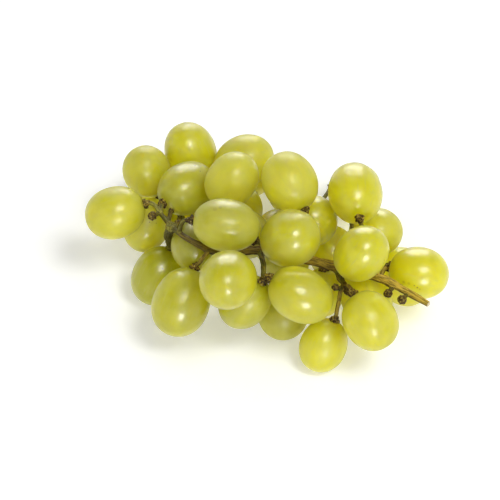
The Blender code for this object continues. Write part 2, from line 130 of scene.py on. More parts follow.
# Each berry: length, width, direction of its stalk end, and ripeness; on the inner berries 10, 16, 28, 30
# and 31 this value is raised as painted light, for light that passes through the bunch
BERRIES = {
    1: (25.0, 21.5, (0.95, 0.13, 0.27), 0.50),
    2: (24.5, 20.0, (0.15, 0.25, -0.95), 0.60),
    3: (26.0, 21.5, (0.3, -0.3, -0.9), 0.60),
    4: (26.5, 21.5, (-0.8, 0.1, -0.6), 0.85),
    5: (25.5, 21.0, (-0.75, -0.7, 0.0), 0.35),
    6: (25.0, 20.5, (-0.55, -0.15, -0.85), 0.80),
    7: (27.0, 21.0, (-1.0, 0.1, 0.1), 0.25),
    8: (25.5, 22.0, (0.47, -0.8, -0.44), 0.75),
    9: (27.5, 23.0, (-0.45, 0.5, -0.75), 0.60),
    10: (23.5, 19.5, (0.0, 0.25, -0.95), 1.00),
    11: (27.0, 22.0, (0.1, -1.0, -0.05), 0.85),
    12: (24.0, 20.0, (-0.6, 0.55, -0.55), 0.75),
    13: (25.0, 20.5, (-0.5, 0.05, -0.85), 0.80),
    14: (24.5, 21.0, (-0.95, 0.35, -0.1), 0.90),
    15: (25.5, 22.0, (-0.5, 0.8, 0.33), 1.00),
    16: (26.0, 21.0, (-0.25, 0.85, 0.3), 1.00),
    17: (24.5, 21.5, (-0.52, 0.67, 0.53), 0.65),
    18: (27.0, 21.5, (-0.9, 0.35, 0.35), 0.50),
    19: (22.5, 19.0, (0.38, 0.42, 0.82), 0.80),
    20: (27.5, 22.5, (0.2, 0.9, -0.4), 0.35),
    21: (24.5, 20.0, (0.55, 0.05, 0.85), 0.25),
    22: (23.5, 21.0, (0.05, 0.9, 0.4), 0.25),
    23: (28.5, 23.0, (0.35, 0.65, 0.65), 0.30),
    24: (25.5, 21.0, (0.4, 0.4, 0.8), 0.00),
    25: (26.0, 21.5, (0.3, 0.95, -0.25), 0.20),
    26: (23.5, 19.0, (0.4, 0.7, 0.5), 0.60),
    27: (23.5, 19.5, (-0.3, -0.2, 0.95), 0.80),
    28: (24.5, 20.0, (0.0, -0.35, 0.95), 1.00),
    29: (24.5, 20.0, (0.3, 0.9, 0.3), 1.00),
    30: (25.5, 21.0, (-0.5, 0.7, 0.5), 1.00),
    31: (21.0, 17.0, (0.0, 0.3, 0.95), 1.00),
    32: (25.0, 21.5, (0.1, -0.7, 0.7), 0.45),
    33: (25.0, 21.5, (-0.2, -0.6, 0.75), 0.60),
    34: (25.0, 20.5, (0.4, -0.45, 0.8), 0.40),
    35: (24.0, 21.0, (-0.8, -0.3, 0.5), 0.70),
    36: (23.5, 20.0, (0.3, -0.8, 0.5), 0.50),
    37: (22.5, 18.5, (-0.1, -0.2, 0.95), 0.50),
    38: (23.0, 20.0, (0.3, 0.3, 0.9), 0.30),
    39: (23.5, 20.0, (-0.3, -0.8, 0.5), 0.75),
    40: (23.0, 19.5, (-0.2, -0.9, 0.3), 0.55),
    41: (24.0, 20.5, (0.3, -0.8, 0.5), 0.35),
}

# Berries that lie on the floor, and the share by which some widen toward their stalk
ON_FLOOR = {15, 19, 22, 24, 27, 28, 29, 30, 31, 32, 33, 34, 35, 38}
TAPERS = {
    5: 0.02, 19: -0.03, 21: -0.03, 23: -0.05, 24: -0.03, 32: 0.02, 33: -0.02, 34: -0.03, 41: 0.02,
}

# Main stem, from its cut end to the tip of the bunch
MAIN_STEM = [
    (71.0, -59.0, 28.5), (64.5, -54.5, 29.5), (60.0, -52.0, 30.5), (54.0, -48.5, 31.5),
    (49.5, -46.0, 31.0), (42.0, -42.5, 31.0), (34.0, -40.5, 31.0), (25.0, -37.0, 31.0),
    (15.0, -34.5, 31.5), (5.0, -33.0, 33.0), (-6.0, -36.5, 36.0), (-15.0, -40.0, 39.0),
    (-22.0, -39.5, 43.5), (-28.0, -33.5, 42.5), (-32.0, -26.5, 40.0), (-34.5, -22.0, 40.0),
    (-36.5, -19.0, 40.5),
]

# Stalks whose way to their berry is given point by point
LAID_STALKS = {
    1: [(-36.5, -19.0, 40.5), (-38.0, -16.0, 40.5), (-39.5, -13.5, 40.8)],
    5: [(-36.5, -19.0, 40.5), (-36.0, -16.0, 40.5)],
    7: [(-29.0, -32.5, 42.5), (-27.5, -33.0, 47.5), (-26.5, -34.0, 51.0)],
    24: [(-32.0, -26.5, 38.5), (-33.0, -24.5, 33.5)],
    23: [(-17.0, -40.5, 40.5), (-18.5, -42.5, 38.5), (-20.0, -43.5, 36.5)],
    21: [(5.0, -33.0, 33.0), (5.0, -39.5, 34.0), (5.5, -46.0, 36.0)],
    8: [(21.5, -35.0, 31.0), (22.5, -30.5, 37.0), (23.0, -29.0, 43.5)],
    11: [(41.0, -42.5, 31.0), (43.0, -39.0, 32.0), (44.5, -34.0, 37.0), (45.0, -32.0, 44.5)],
    14: [(52.0, -47.0, 31.5), (53.5, -40.5, 29.0)],
    17: [
        (35.0, -41.0, 31.0), (35.5, -44.0, 29.5), (38.0, -49.5, 29.5), (38.5, -53.5, 33.0),
        (39.0, -56.5, 36.5),
    ],
    19: [(38.0, -49.5, 29.5), (36.0, -52.5, 29.5), (35.5, -55.5, 27.0)],
}

# Short bare stubs that have lost their berry: start, end and radius of the knob there
STUBS = [
    ((-36.5, -19.0, 40.5), (-39.5, -22.0, 41.5), 1.8),
    ((-29.5, -29.5, 41.5), (-29.0, -26.0, 41.5), 1.3),
    ((-32.0, -22.5, 39.5), (-32.0, -17.5, 40.0), 1.2),
    ((36.0, -52.5, 29.5), (34.0, -53.0, 32.0), 1.5),
    ((38.0, -49.5, 29.5), (39.0, -52.5, 29.0), 1.5),
    ((56.5, -50.0, 31.0), (55.0, -54.0, 29.5), 1.8),
    ((62.0, -53.0, 30.0), (60.5, -57.0, 29.0), 1.9),
]

# Finish of the stalks and of the collars: woodiness, above 1 on warty collars, and dryness
STALK_FINISH = {
    1: (0.1, 0.9), 7: (0.3, 0.4), 24: (0.1, 0.1), 23: (0.9, 0.5),
    17: (0.9, 0.4), 19: (0.7, 0.6), 21: (0.6, 0.3), 14: (0.9, 0.6),
}
OTHER_STALKS = (0.3, 0.4)
COLLAR_FINISH = {
    24: (0.3, 0.0), 7: (1.2, 0.0), 23: (1.2, 1.0), 8: (1.2, 0.2),
}
OTHER_COLLARS = (1.2, 0.55)
STUB_FINISH = (0.5, 0.1)
KNOB_FINISH = (1.1, 0.3)

# Length that the bark's pattern takes on a collar or knob, and on a stub
KNOB_PATTERN = 3.0
STUB_PATTERN = 4.0

# A branch turns woody beyond a radius, and nowhere short of an x at the tip of the bunch
WOODY_RADIUS = 1.2
WOODY_FADE = 0.6
GREEN_END = -32.0
GREEN_FADE = 8.0

# Share of the main stem that keeps the tan colour of its cut end, the share over which it darkens to olive
# brown, and how far it darkens
TAN_END_SHARE = 0.3
TAN_FADE = 1.0 / 2.2
TAN_LOSS = 0.85

# Share of the main stem that is brown, and its woodiness beyond
BROWN_SHARE = 0.88
TIP_WOODINESS = 0.3

# Share by which the main stem's radius wanders, and the lengths of its two waves
MAIN_STEM_WANDER = 0.10
MAIN_STEM_WAVES = (2.9, 7.3)

# How far the waxy bloom spreads over a berry
BLOOM_SHARES = {
    1: 0.7, 2: 0.75, 3: 0.35, 4: 0.8, 5: 0.6, 6: 0.9,
    7: 0.8, 8: 0.85, 9: 0.65, 10: 0.2, 11: 0.2, 13: 0.3,
    14: 0.15, 17: 0.55, 18: 0.6, 19: 0.5, 20: 0.35, 21: 0.45,
    22: 0.8, 23: 0.5, 24: 0.2, 26: 0.7,
}
OTHER_BLOOM = 0.5

# Small brown marks on the skin: berry; how far right and up of its middle, as the front
# above sees it; radius; strength
MARKS = [
    (5, 3.6, 9.1, 0.5, 0.75), (5, 5.7, 6.7, 0.4, 0.7), (24, 2.5, 2.9, 0.45, 0.9),
    (26, 1.3, 1.0, 0.35, 0.8), (26, 4.0, 0.6, 0.3, 0.6), (14, -2.4, -5.0, 0.45, 0.5),
    (14, -1.2, -5.8, 0.5, 0.65), (14, -0.2, -6.4, 0.4, 0.45), (14, -6.6, -3.6, 0.8, 0.25),
    (14, -4.6, -4.2, 0.8, 0.25), (7, -4.2, 6.2, 1.2, 0.25), (7, -2.2, 6.8, 1.0, 0.25),
    (13, 8.5, -3.7, 0.6, 0.35), (13, 8.7, -2.6, 0.6, 0.3),
]

# Fineness of the stem's lines: step along them, rings of a collar, rings and open end of a
# knob in radians, and sides of the tubes
LINE_STEP = 0.6
COLLAR_RINGS = 16
KNOB_RINGS = 13
KNOB_END = 0.12
TUBE_SIDES = 14

# Waves of a berry's uneven skin: length in half widths, number, and the seed that its own
# number is added to
SKIN_WAVES = (1.1, 9)
SKIN_SEED = 99

# Space between one line's bark pattern and the next, and vertices handled at a time
LINE_APART = 37.0
BLOCK = 4096

# Smoothing of the fused stem: share toward the neighbours, share back, and passes
SMOOTH_FORTH = 0.5
SMOOTH_BACK = -0.52
SMOOTH_PASSES = 2

# Ridges round the stem, how far they wind per millimetre in radians, how far they wander in
# radians, and the shares of ridges and of rough bark
RIDGE_COUNT = 5.0
RIDGE_TWIST = 0.25
RIDGE_WANDER = 1.5
RIDGE_SHARE = 0.6
ROUGH_SHARE = 0.5

# Seeded waves of the ridges, of the rough bark, stretched along it, and of the warts:
# length, number and seed
RIDGE_WAVES = (9.0, 5, 3)
ROUGH_WAVES = (1.5, 8, 5)
ROUGH_STRETCH = (1.0, 1.0, 0.3)
WART_WAVES = (1.5, 10, 7)

# Radius of stem with full ridges, least share of them, and woodiness over 1 that is all warts
RIDGED_RADIUS = 1.8
LEAST_RIDGES = 0.3
WARTY_WOODINESS = 0.2

# How far the pale cut face reaches along the stem and across it
CUT_DEPTH = 0.3
CUT_RADIUS = 2.5

# Patterns in half widths of a berry and in millimetres of bark: scale, detail and roughness of a
# noise, and the span of its values that counts
CLOUD_SPAN = (0.3, 0.7)
RIPENESS_CLOUDS = (1.3, 3.0, 0.55)
VEIN_SPAN = (0.5, 0.75)
BLOOM_CLOUDS = (1.5, 3.0)
BLOOM_SPAN = (0.36, 0.72)
SKIN_GRAIN = (6.0, 4.0, 0.6)
GROOVES = (1.7, 4.0, 0.6)
RIDGE_SPAN = (0.38, 0.6)
BLOTCHES = (0.55, 3.0, 0.6)
WOODY_SPAN = (0.3, 0.75)
MOTTLE = (1.3, 3.0)
WART_SPAN = (0.47, 0.56)
FLECK_SPAN = (0.62, 0.68)
# Span of the upward facing over which the painted shade under the stem lifts to full light
SHADE_FACING_SPAN = (-0.5, 0.6)

# Strength and depth in metres of the finest relief, and roughness of bark and paper
SKIN_BUMP = (0.4, 0.0002)
BARK_BUMP = (0.6, 0.0003)
BARK_ROUGHNESS = (0.75, 0.55)
PAPER_ROUGHNESS = 0.9

# Skin: swing of the ripeness, veins, green by the stalk, swing of the bloom, specks and scar
RIPENESS_SWING = 0.14
VEIN_STRETCH = (7.0, 7.0, 0.8)
VEIN_SHARE = 0.3
GREEN_HEIGHT = 0.72
GREEN_SHARE = 0.35
BLOOM_SWING = 0.15
SPECK_SCALE = 5.5
SPECK_RADIUS = 0.05
SPECK_STRENGTH = 0.4
SPECK_RARITY = (0.78, 0.8)
SCAR_HEIGHTS = (-0.9985, -0.9965)
SCAR_STRENGTH = 0.7

# Flesh: refraction, shares of the glow depth for red, green and blue, shine left under bloom,
# and softness of the milky edge
REFRACTION = 1.42
GLOW_SHARES = (1.0, 0.85, 0.25)
DULLED_SHINE = 0.25
RIM_ROUGHNESS = 0.12

# Bark: stretch of the grooves, light left in them and in the painted shade underneath, swing
# of the woodiness, and strength of the collars' dark warts and pale flecks
GROOVE_STRETCH = (1.0, 1.0, 0.16)
GROOVE_LIGHT = 0.35
UNDERSIDE_LIGHT = 0.15
WOOD_SWING = 0.3
WART_SHARE = 0.85
FLECK_SHARE = 0.7

WHITE = (1.0, 1.0, 1.0)

# Paper: how dim its dim spots are and their scale, radii of the floor's rings in metres, faces
# round it and rings of its bend
PAPER_DIMMING = 0.985
PAPER_GRAIN = 6.0
PAPER_RINGS = [0.02, 0.15, 0.5, 1.0]
PAPER_SIDES = 96
PAPER_BEND_RINGS = 17

# Softboxes: name, setting of its power, direction from the bunch, distance and size in metres,
# and the rays that don't see it
LIGHTS = [
    ("key_light", "key_power", (0.35, -0.36, 0.87), 1.5, 0.5, "visible_glossy"),
    ("upper_highlight", "glint_power", (0.10, -0.51, 0.85), 1.3, 0.42, "visible_diffuse"),
    ("front_highlight", "glint_power", (0.13, -0.98, 0.15), 1.3, 0.36, "visible_diffuse"),
    ("rim_light", "rim_power", (0.0, 0.86, 0.5), 1.6, 1.2, "visible_diffuse"),
]

# Seed of the places of the berries' patterns, and how far apart these lie, in half widths
PATTERN_SEED = 11
PATTERN_SPREAD = 20.0

# Camera: sensor width in millimetres, nearest and farthest thing it sees in metres
SENSOR_WIDTH = 36.0
CLIP = (0.05, 20.0)

# Collar between a stalk and its berry: distance out from the berry's tip, and radius
COLLAR_PROFILE = [
    (-0.5, 1.4), (-0.25, 1.95), (0.2, 2.15), (0.7, 1.95), (1.1, 1.5), (1.7, 1.15), (2.4, 0.95),
]


# Shapes that the stem grows round

def unit(vector):
    """The vector at length one."""
    array = np.array(vector, dtype=float)
    return array / np.linalg.norm(array)


def reach(axis, half_width, half_length, direction):
    """How far an oval berry reaches from its middle in a direction."""
    along = float(axis @ direction)
    return math.sqrt(half_width ** 2 * (1.0 - along ** 2) + half_length ** 2 * along ** 2)


# The berries' places in the tables' own frame, berry 1 first
Bunch = namedtuple("Bunch", "middles axes half_width half_length")


def berry_places():
    """Middles, axes and half sizes of the berries.

    The middle is the middle of the solid's box. A berry on the floor has lost its foot, so its
    middle stands as high as the oval reaches down, less the depth of the flat.
    """
    middles = []
    for number in BERRIES:
        low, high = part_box("berry_%02d" % number)
        middles.append((np.array(low) + np.array(high)) / 2.0 / MM - PLAN_SHIFT)
    middles = np.array(middles)
    axes = np.array([unit(row[2]) for row in BERRIES.values()])
    half_length = np.array([row[0] / 2.0 for row in BERRIES.values()])
    half_width = np.array([row[1] / 2.0 for row in BERRIES.values()])
    down = np.array([0.0, 0.0, -1.0])
    for number in ON_FLOOR:
        i = number - 1
        middles[i, 2] = reach(axes[i], half_width[i], half_length[i], down) - FLAT_DEPTH
    return Bunch(middles, axes, half_width, half_length)


def berry_tip(bunch, number):
    """The stalk end of a berry, and the way out of it."""
    middle, axis, _, long = (part[number - 1] for part in bunch)
    return middle + axis * long, axis


def free_room(points, bunch):
    """Room from each point to the nearest berry's surface, and the way out of that berry."""
    best = np.full(len(points), 1e9)
    away = np.zeros((len(points), 3))
    for middle, axis, wide, long in zip(*bunch):
        offset = points - middle
        along = offset @ axis
        across2 = np.maximum((offset ** 2).sum(axis=1) - along ** 2, 0.0)
        scale = np.sqrt(along ** 2 / long ** 2 + across2 / wide ** 2) + 1e-9
        length = np.sqrt((offset ** 2).sum(axis=1)) + 1e-9
        room = length * (1.0 - 1.0 / scale)
        nearer = room < best
        best[nearer] = room[nearer]
        normal = (offset - along[:, None] * axis) / wide ** 2 + along[:, None] * axis / long ** 2
        normal /= np.linalg.norm(normal, axis=1)[:, None] + 1e-12
        away[nearer] = normal[nearer]
    return best, away


def distances(points):
    """How far along a polyline each of its points lies."""
    legs = np.linalg.norm(np.diff(points, axis=0), axis=1)
    return np.concatenate([[0.0], np.cumsum(legs)])


def resample(points, step):
    """The polyline, rounded at its corners, at about equal steps."""
    path = np.array(points, dtype=float)
    for _ in range(2):
        ends = np.stack([path[:-1] * 0.75 + path[1:] * 0.25, path[:-1] * 0.25 + path[1:] * 0.75], axis=1)
        path = np.concatenate([path[:1], ends.reshape(-1, 3), path[-1:]])
    run = distances(path)
    count = max(2, int(round(run[-1] / step)) + 1)
    at = np.linspace(0.0, run[-1], count)
    return np.stack([np.interp(at, run, path[:, k]) for k in range(3)], axis=1)


class StemTree:
    """Nodes of the stem: place, parent, held in place or not, kind, and the berry at a tip."""

    def __init__(self):
        self.place = []
        self.parent = []
        self.held = []
        self.kind = []
        self.berry = {}

    def add(self, place, parent, held, kind):
        self.place.append(np.array(place, dtype=float))
        self.parent.append(parent)
        self.held.append(held)
        self.kind.append(kind)
        return len(self.place) - 1

    def nearest(self, point):
        gaps = [np.linalg.norm(p - np.array(point)) for p in self.place]
        return int(np.argmin(gaps))


def stalk_end(bunch, number):
    """Where the stalk meets the collar of a berry, and the free point it comes from."""
    tip, axis = berry_tip(bunch, number)
    return tip + axis * (COLLAR_GAP + STALK_DEPTH * COLLAR_LENGTH), tip + axis * STALK_LEAD


def showing(points, bunch):
    """Which points no berry hides from the side that the bunch is looked at."""
    toward = unit(FRONT_ABOVE)
    seen = np.ones(len(points), dtype=bool)
    for middle, wide in zip(bunch.middles, bunch.half_width):
        offset = points - middle
        nearness = offset @ toward
        across2 = (offset ** 2).sum(axis=1) - nearness ** 2
        seen &= (nearness > 0.0) | (across2 > (HIDING_SHARE * wide) ** 2)
    return seen


def cost_field(bunch):
    """Cost per millimetre of running a stalk through each node of a grid round the bunch.

    It rises close to a berry and inside one, out in the open, and where a stalk would show.
    """
    low = np.array(STALK_SPACE[0])
    high = np.array(STALK_SPACE[1])
    counts = np.floor((high - low) / GRID_STEP).astype(int) + 1
    steps = [low[k] + GRID_STEP * np.arange(counts[k]) for k in range(3)]
    mesh = np.stack(np.meshgrid(*steps, indexing="ij"), axis=-1)
    points = mesh.reshape(-1, 3)
    room, _ = free_room(points, bunch)
    short = np.maximum(STALK_RADIUS + STALK_CLEARANCE - room, 0.0)
    cost = 1.0 + TIGHT_COST * short ** 2 + NEAR_COST / np.maximum(room, LEAST_ROOM)
    cost += np.where(room > OPEN_ROOM, OPEN_COST, 0.0)
    cost += np.where(showing(points, bunch), SHOWING_COST, 0.0)
    return low, mesh, cost.reshape(counts)


def spread(cost, source):
    """Least cost from the stem to every node of the grid, by passing it on between neighbours."""
    best = np.full(cost.shape, UNREACHED)
    best[source] = 0.0
    shifts = [shift for shift in itertools.product((-1, 0, 1), repeat=3) if any(shift)]
    for _ in range(SPREAD_ROUNDS):
        before = best.copy()
        for shift in shifts:
            here = tuple(slice(max(0, s), n + min(0, s)) for s, n in zip(shift, cost.shape))
            there = tuple(slice(max(0, -s), n + min(0, -s)) for s, n in zip(shift, cost.shape))
            leg = GRID_STEP * math.sqrt(sum(s * s for s in shift))
            passed = best[there] + leg * 0.5 * (cost[here] + cost[there])
            np.minimum(best[here], passed, out=best[here])
        if np.array_equal(before, best):
            break
    return best, shifts


def node_index(point, low, shape):
    """The grid node nearest to a point."""
    index = np.round((np.array(point) - low) / GRID_STEP).astype(int)
    return tuple(int(min(max(i, 0), n - 1)) for i, n in zip(index, shape))


def grow_stem(bunch):
    """The stem as a tree: the main stem, the laid stalks, then the rest along the easiest ways."""
    tree = StemTree()
    last = -1
    for point in resample(MAIN_STEM, STEM_STEP):
        last = tree.add(point, last, True, "main")
    for number, way in LAID_STALKS.items():
        end, _ = stalk_end(bunch, number)
        start = tree.nearest(way[0])
        path = resample([tree.place[start]] + list(way[1:]) + [end], STALK_STEP)
        last = start
        for k, point in enumerate(path[1:]):
            final = k == len(path) - 2
            last = tree.add(point, last, True, "end" if final else "stalk")
        tree.berry[last] = number
    low, mesh, cost = cost_field(bunch)
    source = np.zeros(cost.shape, dtype=bool)
    for point, kind in zip(tree.place, tree.kind):
        if kind != "end":
            source[node_index(point, low, cost.shape)] = True
    best, shifts = spread(cost, source)
    known = {}
    for number in BERRIES:
        if number in LAID_STALKS:
            continue
        end, before = stalk_end(bunch, number)
        here = node_index(before, low, cost.shape)
        chain = [here]
        while best[here] > 0.0 and here not in known and len(chain) < LONGEST_CHAIN:
            options = []
            for shift in shifts:
                there = tuple(a + s for a, s in zip(here, shift))
                if min(there) < 0 or any(t >= n for t, n in zip(there, cost.shape)):
                    continue
                leg = GRID_STEP * math.sqrt(sum(s * s for s in shift))
                options.append((best[there] + leg * 0.5 * (cost[here] + cost[there]), there))
            here = min(options)[1]
            chain.append(here)
        last = known[here] if here in known else tree.nearest(mesh[here])
        for node in reversed(chain):
            if node in known:
                last = known[node]
                continue
            if best[node] == 0.0:
                known[node] = last
                continue
            last = tree.add(mesh[node], last, False, "stalk")
            known[node] = last
        tree.berry[tree.add(end, last, True, "end")] = number
    relax_tree(tree, bunch)
    return tree


def relax_tree(tree, bunch):
    """Draws the free stalks smooth and pushes every node clear of the berries."""
    place = np.array(tree.place)
    parent = np.array(tree.parent)
    held = np.array(tree.held)
    fixed_end = np.array([kind == "end" for kind in tree.kind])
    radius = node_radius(tree)
    has = parent >= 0
    pull = np.where(held, 0.0, PULL)
    for step in range(RELAX_ROUNDS):
        total = np.zeros_like(place)
        count = np.zeros(len(place))
        np.add.at(total, np.where(has)[0], place[parent[has]])
        np.add.at(count, np.where(has)[0], 1.0)
        np.add.at(total, parent[has], place[has])
        np.add.at(count, parent[has], 1.0)
        target = total / count[:, None]
        settling = SETTLE_SHARE if step > SETTLE_ROUND else 1.0
        place += (pull * settling)[:, None] * (target - place)
        for _ in range(3):
            room, away = free_room(place, bunch)
            lack = np.where(fixed_end, 0.0, np.maximum(radius + TOUCH_GAP + PUSH_GAP - room, 0.0))
            place += PUSH * lack[:, None] * away
        lowest = radius + FLOOR_CLEARANCE
        place[:, 2] = np.where(fixed_end, place[:, 2], np.maximum(place[:, 2], lowest))
    tree.place = list(place)


def node_radius(tree):
    """Radius at each node: the main stem's own profile, and branches that thicken with their load."""
    load = np.zeros(len(tree.place))
    for i in range(len(tree.place)):
        if i not in tree.parent:
            walk = i
            while walk >= 0:
                load[walk] += 1.0
                walk = tree.parent[walk]
    radius = np.minimum(STALK_RADIUS * load ** LOAD_POWER, LATERAL_RADIUS_MAX)
    mains = [i for i, kind in enumerate(tree.kind) if kind == "main"]
    radius[mains] = np.interp(np.linspace(0.0, 1.0, len(mains)), *zip(*MAIN_STEM_RADII))
    return radius


def chains_of(tree):
    """The tree cut at its forks into runs of nodes, each starting on its parent run."""
    children = {}
    for i, parent in enumerate(tree.parent):
        children.setdefault(parent, []).append(i)
    mains = [i for i, kind in enumerate(tree.kind) if kind == "main"]
    runs = [mains]
    for i, parent in enumerate(tree.parent):
        if i not in mains and (parent in mains or len(children[parent]) > 1):
            run = [parent, i]
            while len(children.get(run[-1], [])) == 1:
                run.append(children[run[-1]][0])
            runs.append(run)
    return runs


# Surfaces

def ripple(points, wavelength, waves, seed):
    """A smooth uneven field: sine waves in seeded directions, their sum over the root of their number."""
    chance = np.random.default_rng(seed)
    way = chance.normal(size=(waves, 3))
    way /= np.linalg.norm(way, axis=1)[:, None]
    length = wavelength * chance.uniform(0.7, 1.5, size=waves)
    phase = chance.uniform(0.0, 2.0 * math.pi, size=waves)
    field = np.sin(points @ (way * (2.0 * math.pi / length)[:, None]).T + phase)
    return field.sum(axis=-1) / math.sqrt(waves)


def ring_faces(count, sides):
    """Four-cornered faces that join each ring of points to the next."""
    here = np.arange(sides)
    after = (here + 1) % sides
    base = (np.arange(count - 1) * sides)[:, None]
    quads = np.stack([base + here, base + after, base + sides + after, base + sides + here], axis=-1)
    return here, after, quads.reshape(-1, 4)


def closed_rings(rings, first_pole, last_pole):
    """Vertices and faces of a closed skin over rings of points, with a pole at each end.

    Ring i is joined to ring i + 1 by four-cornered faces, and the end rings to their poles by
    three-cornered ones. The faces point outwards when the rings turn to the left round their
    way forward.
    """
    count, sides = rings.shape[:2]
    verts = np.concatenate([rings.reshape(-1, 3), [first_pole], [last_pole]])
    here, after, quads = ring_faces(count, sides)
    first = count * sides
    low_cap = np.stack([np.full(sides, first), after, here], axis=-1)
    top = (count - 1) * sides
    high_cap = np.stack([np.full(sides, first + 1), top + here, top + after], axis=-1)
    return verts, quads, np.concatenate([low_cap, high_cap])


def mesh_object(name, verts, quads, triangles):
    """A smooth mesh object at the origin, its vertices given in millimetres."""
    corners = np.concatenate([quads.reshape(-1), triangles.reshape(-1)]).astype(np.int32)
    totals = np.concatenate([np.full(len(quads), 4), np.full(len(triangles), 3)]).astype(np.int32)
    starts = np.concatenate([[0], np.cumsum(totals)[:-1]]).astype(np.int32)
    mesh = bpy.data.meshes.new(name)
    mesh.vertices.add(len(verts))
    mesh.vertices.foreach_set("co", (verts * MM).astype(np.float32).ravel())
    mesh.loops.add(len(corners))
    mesh.loops.foreach_set("vertex_index", corners)
    mesh.polygons.add(len(totals))
    mesh.polygons.foreach_set("loop_start", starts)
    mesh.polygons.foreach_set("loop_total", totals)
    mesh.update(calc_edges=True)
    mesh.validate()
    mesh.shade_smooth()
    item = bpy.data.objects.new(name, mesh)
    bpy.context.scene.collection.objects.link(item)
    return item


def point_values(mesh, name, kind, values):
    """A value or vector for each vertex of the mesh, for its material to read."""
    layer = mesh.attributes.new(name, kind, "POINT")
    field = "vector" if kind == "FLOAT_VECTOR" else "value"
    layer.data.foreach_set(field, np.ascontiguousarray(values, dtype=np.float32).ravel())


def cross_frame(axis):
    """Two directions at right angles to an axis and to each other, turning left round it."""
    helper = np.array([1.0, 0.0, 0.0]) if abs(axis[0]) < 0.6 else np.array([0.0, 1.0, 0.0])
    first = unit(np.cross(axis, helper))
    return first, np.cross(axis, first)


def berry_skin_grid(middle, axis, wide, long, number, shape):
    """An oval berry on a grid of two angles.

    The angle t runs from the scar end to the stalk end and the angle a round the axis. The
    outline is a full oval, |r / wide|^p + |h / long|^p = 1, with r its distance from the axis
    and h its height. Toward the stalk end r is scaled by 1 + taper * cos t. A round dimple
    sinks the stalk end and a small one the scar end, each by depth * exp(-(r / radius)^2).
    The whole is scaled by 1 plus a seeded ripple. A berry on the floor is cut off at height 0.
    """
    t = math.pi * (1.0 - (np.arange(1, shape.rings) / shape.rings))
    a = 2.0 * math.pi * np.arange(shape.sides) / shape.sides
    t, a = np.meshgrid(t, a, indexing="ij")
    full = (np.sin(t) ** shape.fullness + np.abs(np.cos(t)) ** shape.fullness) ** (-1.0 / shape.fullness)
    r = wide * np.sin(t) * full * (1.0 + TAPERS.get(number, 0.0) * np.cos(t))
    h = long * np.cos(t) * full
    dimple = shape.dimple_depth / MM
    scar = shape.scar_depth / MM
    sunk = dimple * np.exp(-((r / (shape.dimple_radius / MM)) ** 2)) * (h > 0.0)
    sunk -= scar * np.exp(-((r / (shape.scar_radius / MM)) ** 2)) * (h < 0.0)
    first, second = cross_frame(axis)
    rings = r[..., None] * (np.cos(a)[..., None] * first + np.sin(a)[..., None] * second)
    rings += (h - sunk)[..., None] * axis
    verts, quads, triangles = closed_rings(rings, axis * (-long + scar), axis * (long - dimple))
    swell = 1.0 + shape.unevenness * ripple(verts / wide, *SKIN_WAVES, SKIN_SEED + number)
    local = np.stack([verts @ first / wide, verts @ second / wide, verts @ axis / long], axis=-1)
    verts = verts * swell[:, None] + middle
    if number in ON_FLOOR:
        verts[:, 2] = np.maximum(verts[:, 2], 0.0)
    return verts, quads, triangles, local


def tube_grid(points, radii, sides):
    """A round tube: a circle of the given radius carried along a path, closed by a dome at each end."""
    tangent = np.gradient(points, axis=0)
    tangent /= np.linalg.norm(tangent, axis=1)[:, None]
    helper = np.eye(3)[np.argmin(np.abs(tangent).mean(axis=0))]
    first = np.cross(tangent, helper)
    first /= np.linalg.norm(first, axis=1)[:, None] + 1e-12
    second = np.cross(tangent, first)
    a = 2.0 * math.pi * np.arange(sides) / sides
    circle = np.cos(a)[None, :, None] * first[:, None, :] + np.sin(a)[None, :, None] * second[:, None, :]
    rings = points[:, None, :] + np.asarray(radii)[:, None, None] * circle
    start = points[0] - tangent[0] * radii[0] * 0.5
    end = points[-1] + tangent[-1] * radii[-1] * 0.5
    return closed_rings(rings, start, end)


def collar_path(bunch, number):
    """The line and radii of the warty collar that a berry hangs from."""
    out, wide = zip(*COLLAR_PROFILE)
    fine = np.linspace(out[0], out[-1], COLLAR_RINGS)
    tip, axis = berry_tip(bunch, number)
    return tip + fine[:, None] * axis, np.interp(fine, out, wide)


def knob_path(place, radius):
    """The line and radii of a small round knob."""
    t = np.linspace(KNOB_END, math.pi - KNOB_END, KNOB_RINGS)
    points = np.array(place) + np.cos(t)[:, None] * radius * np.array([0.0, 0.0, -1.0])
    return points, radius * np.sin(t)


def joined(parts):
    """Several closed skins in one list of vertices and faces."""
    verts, quads, triangles = [], [], []
    base = 0
    for part in parts:
        verts.append(part[0])
        quads.append(part[1] + base)
        triangles.append(part[2] + base)
        base += len(part[0])
    return np.concatenate(verts), np.concatenate(quads), np.concatenate(triangles)


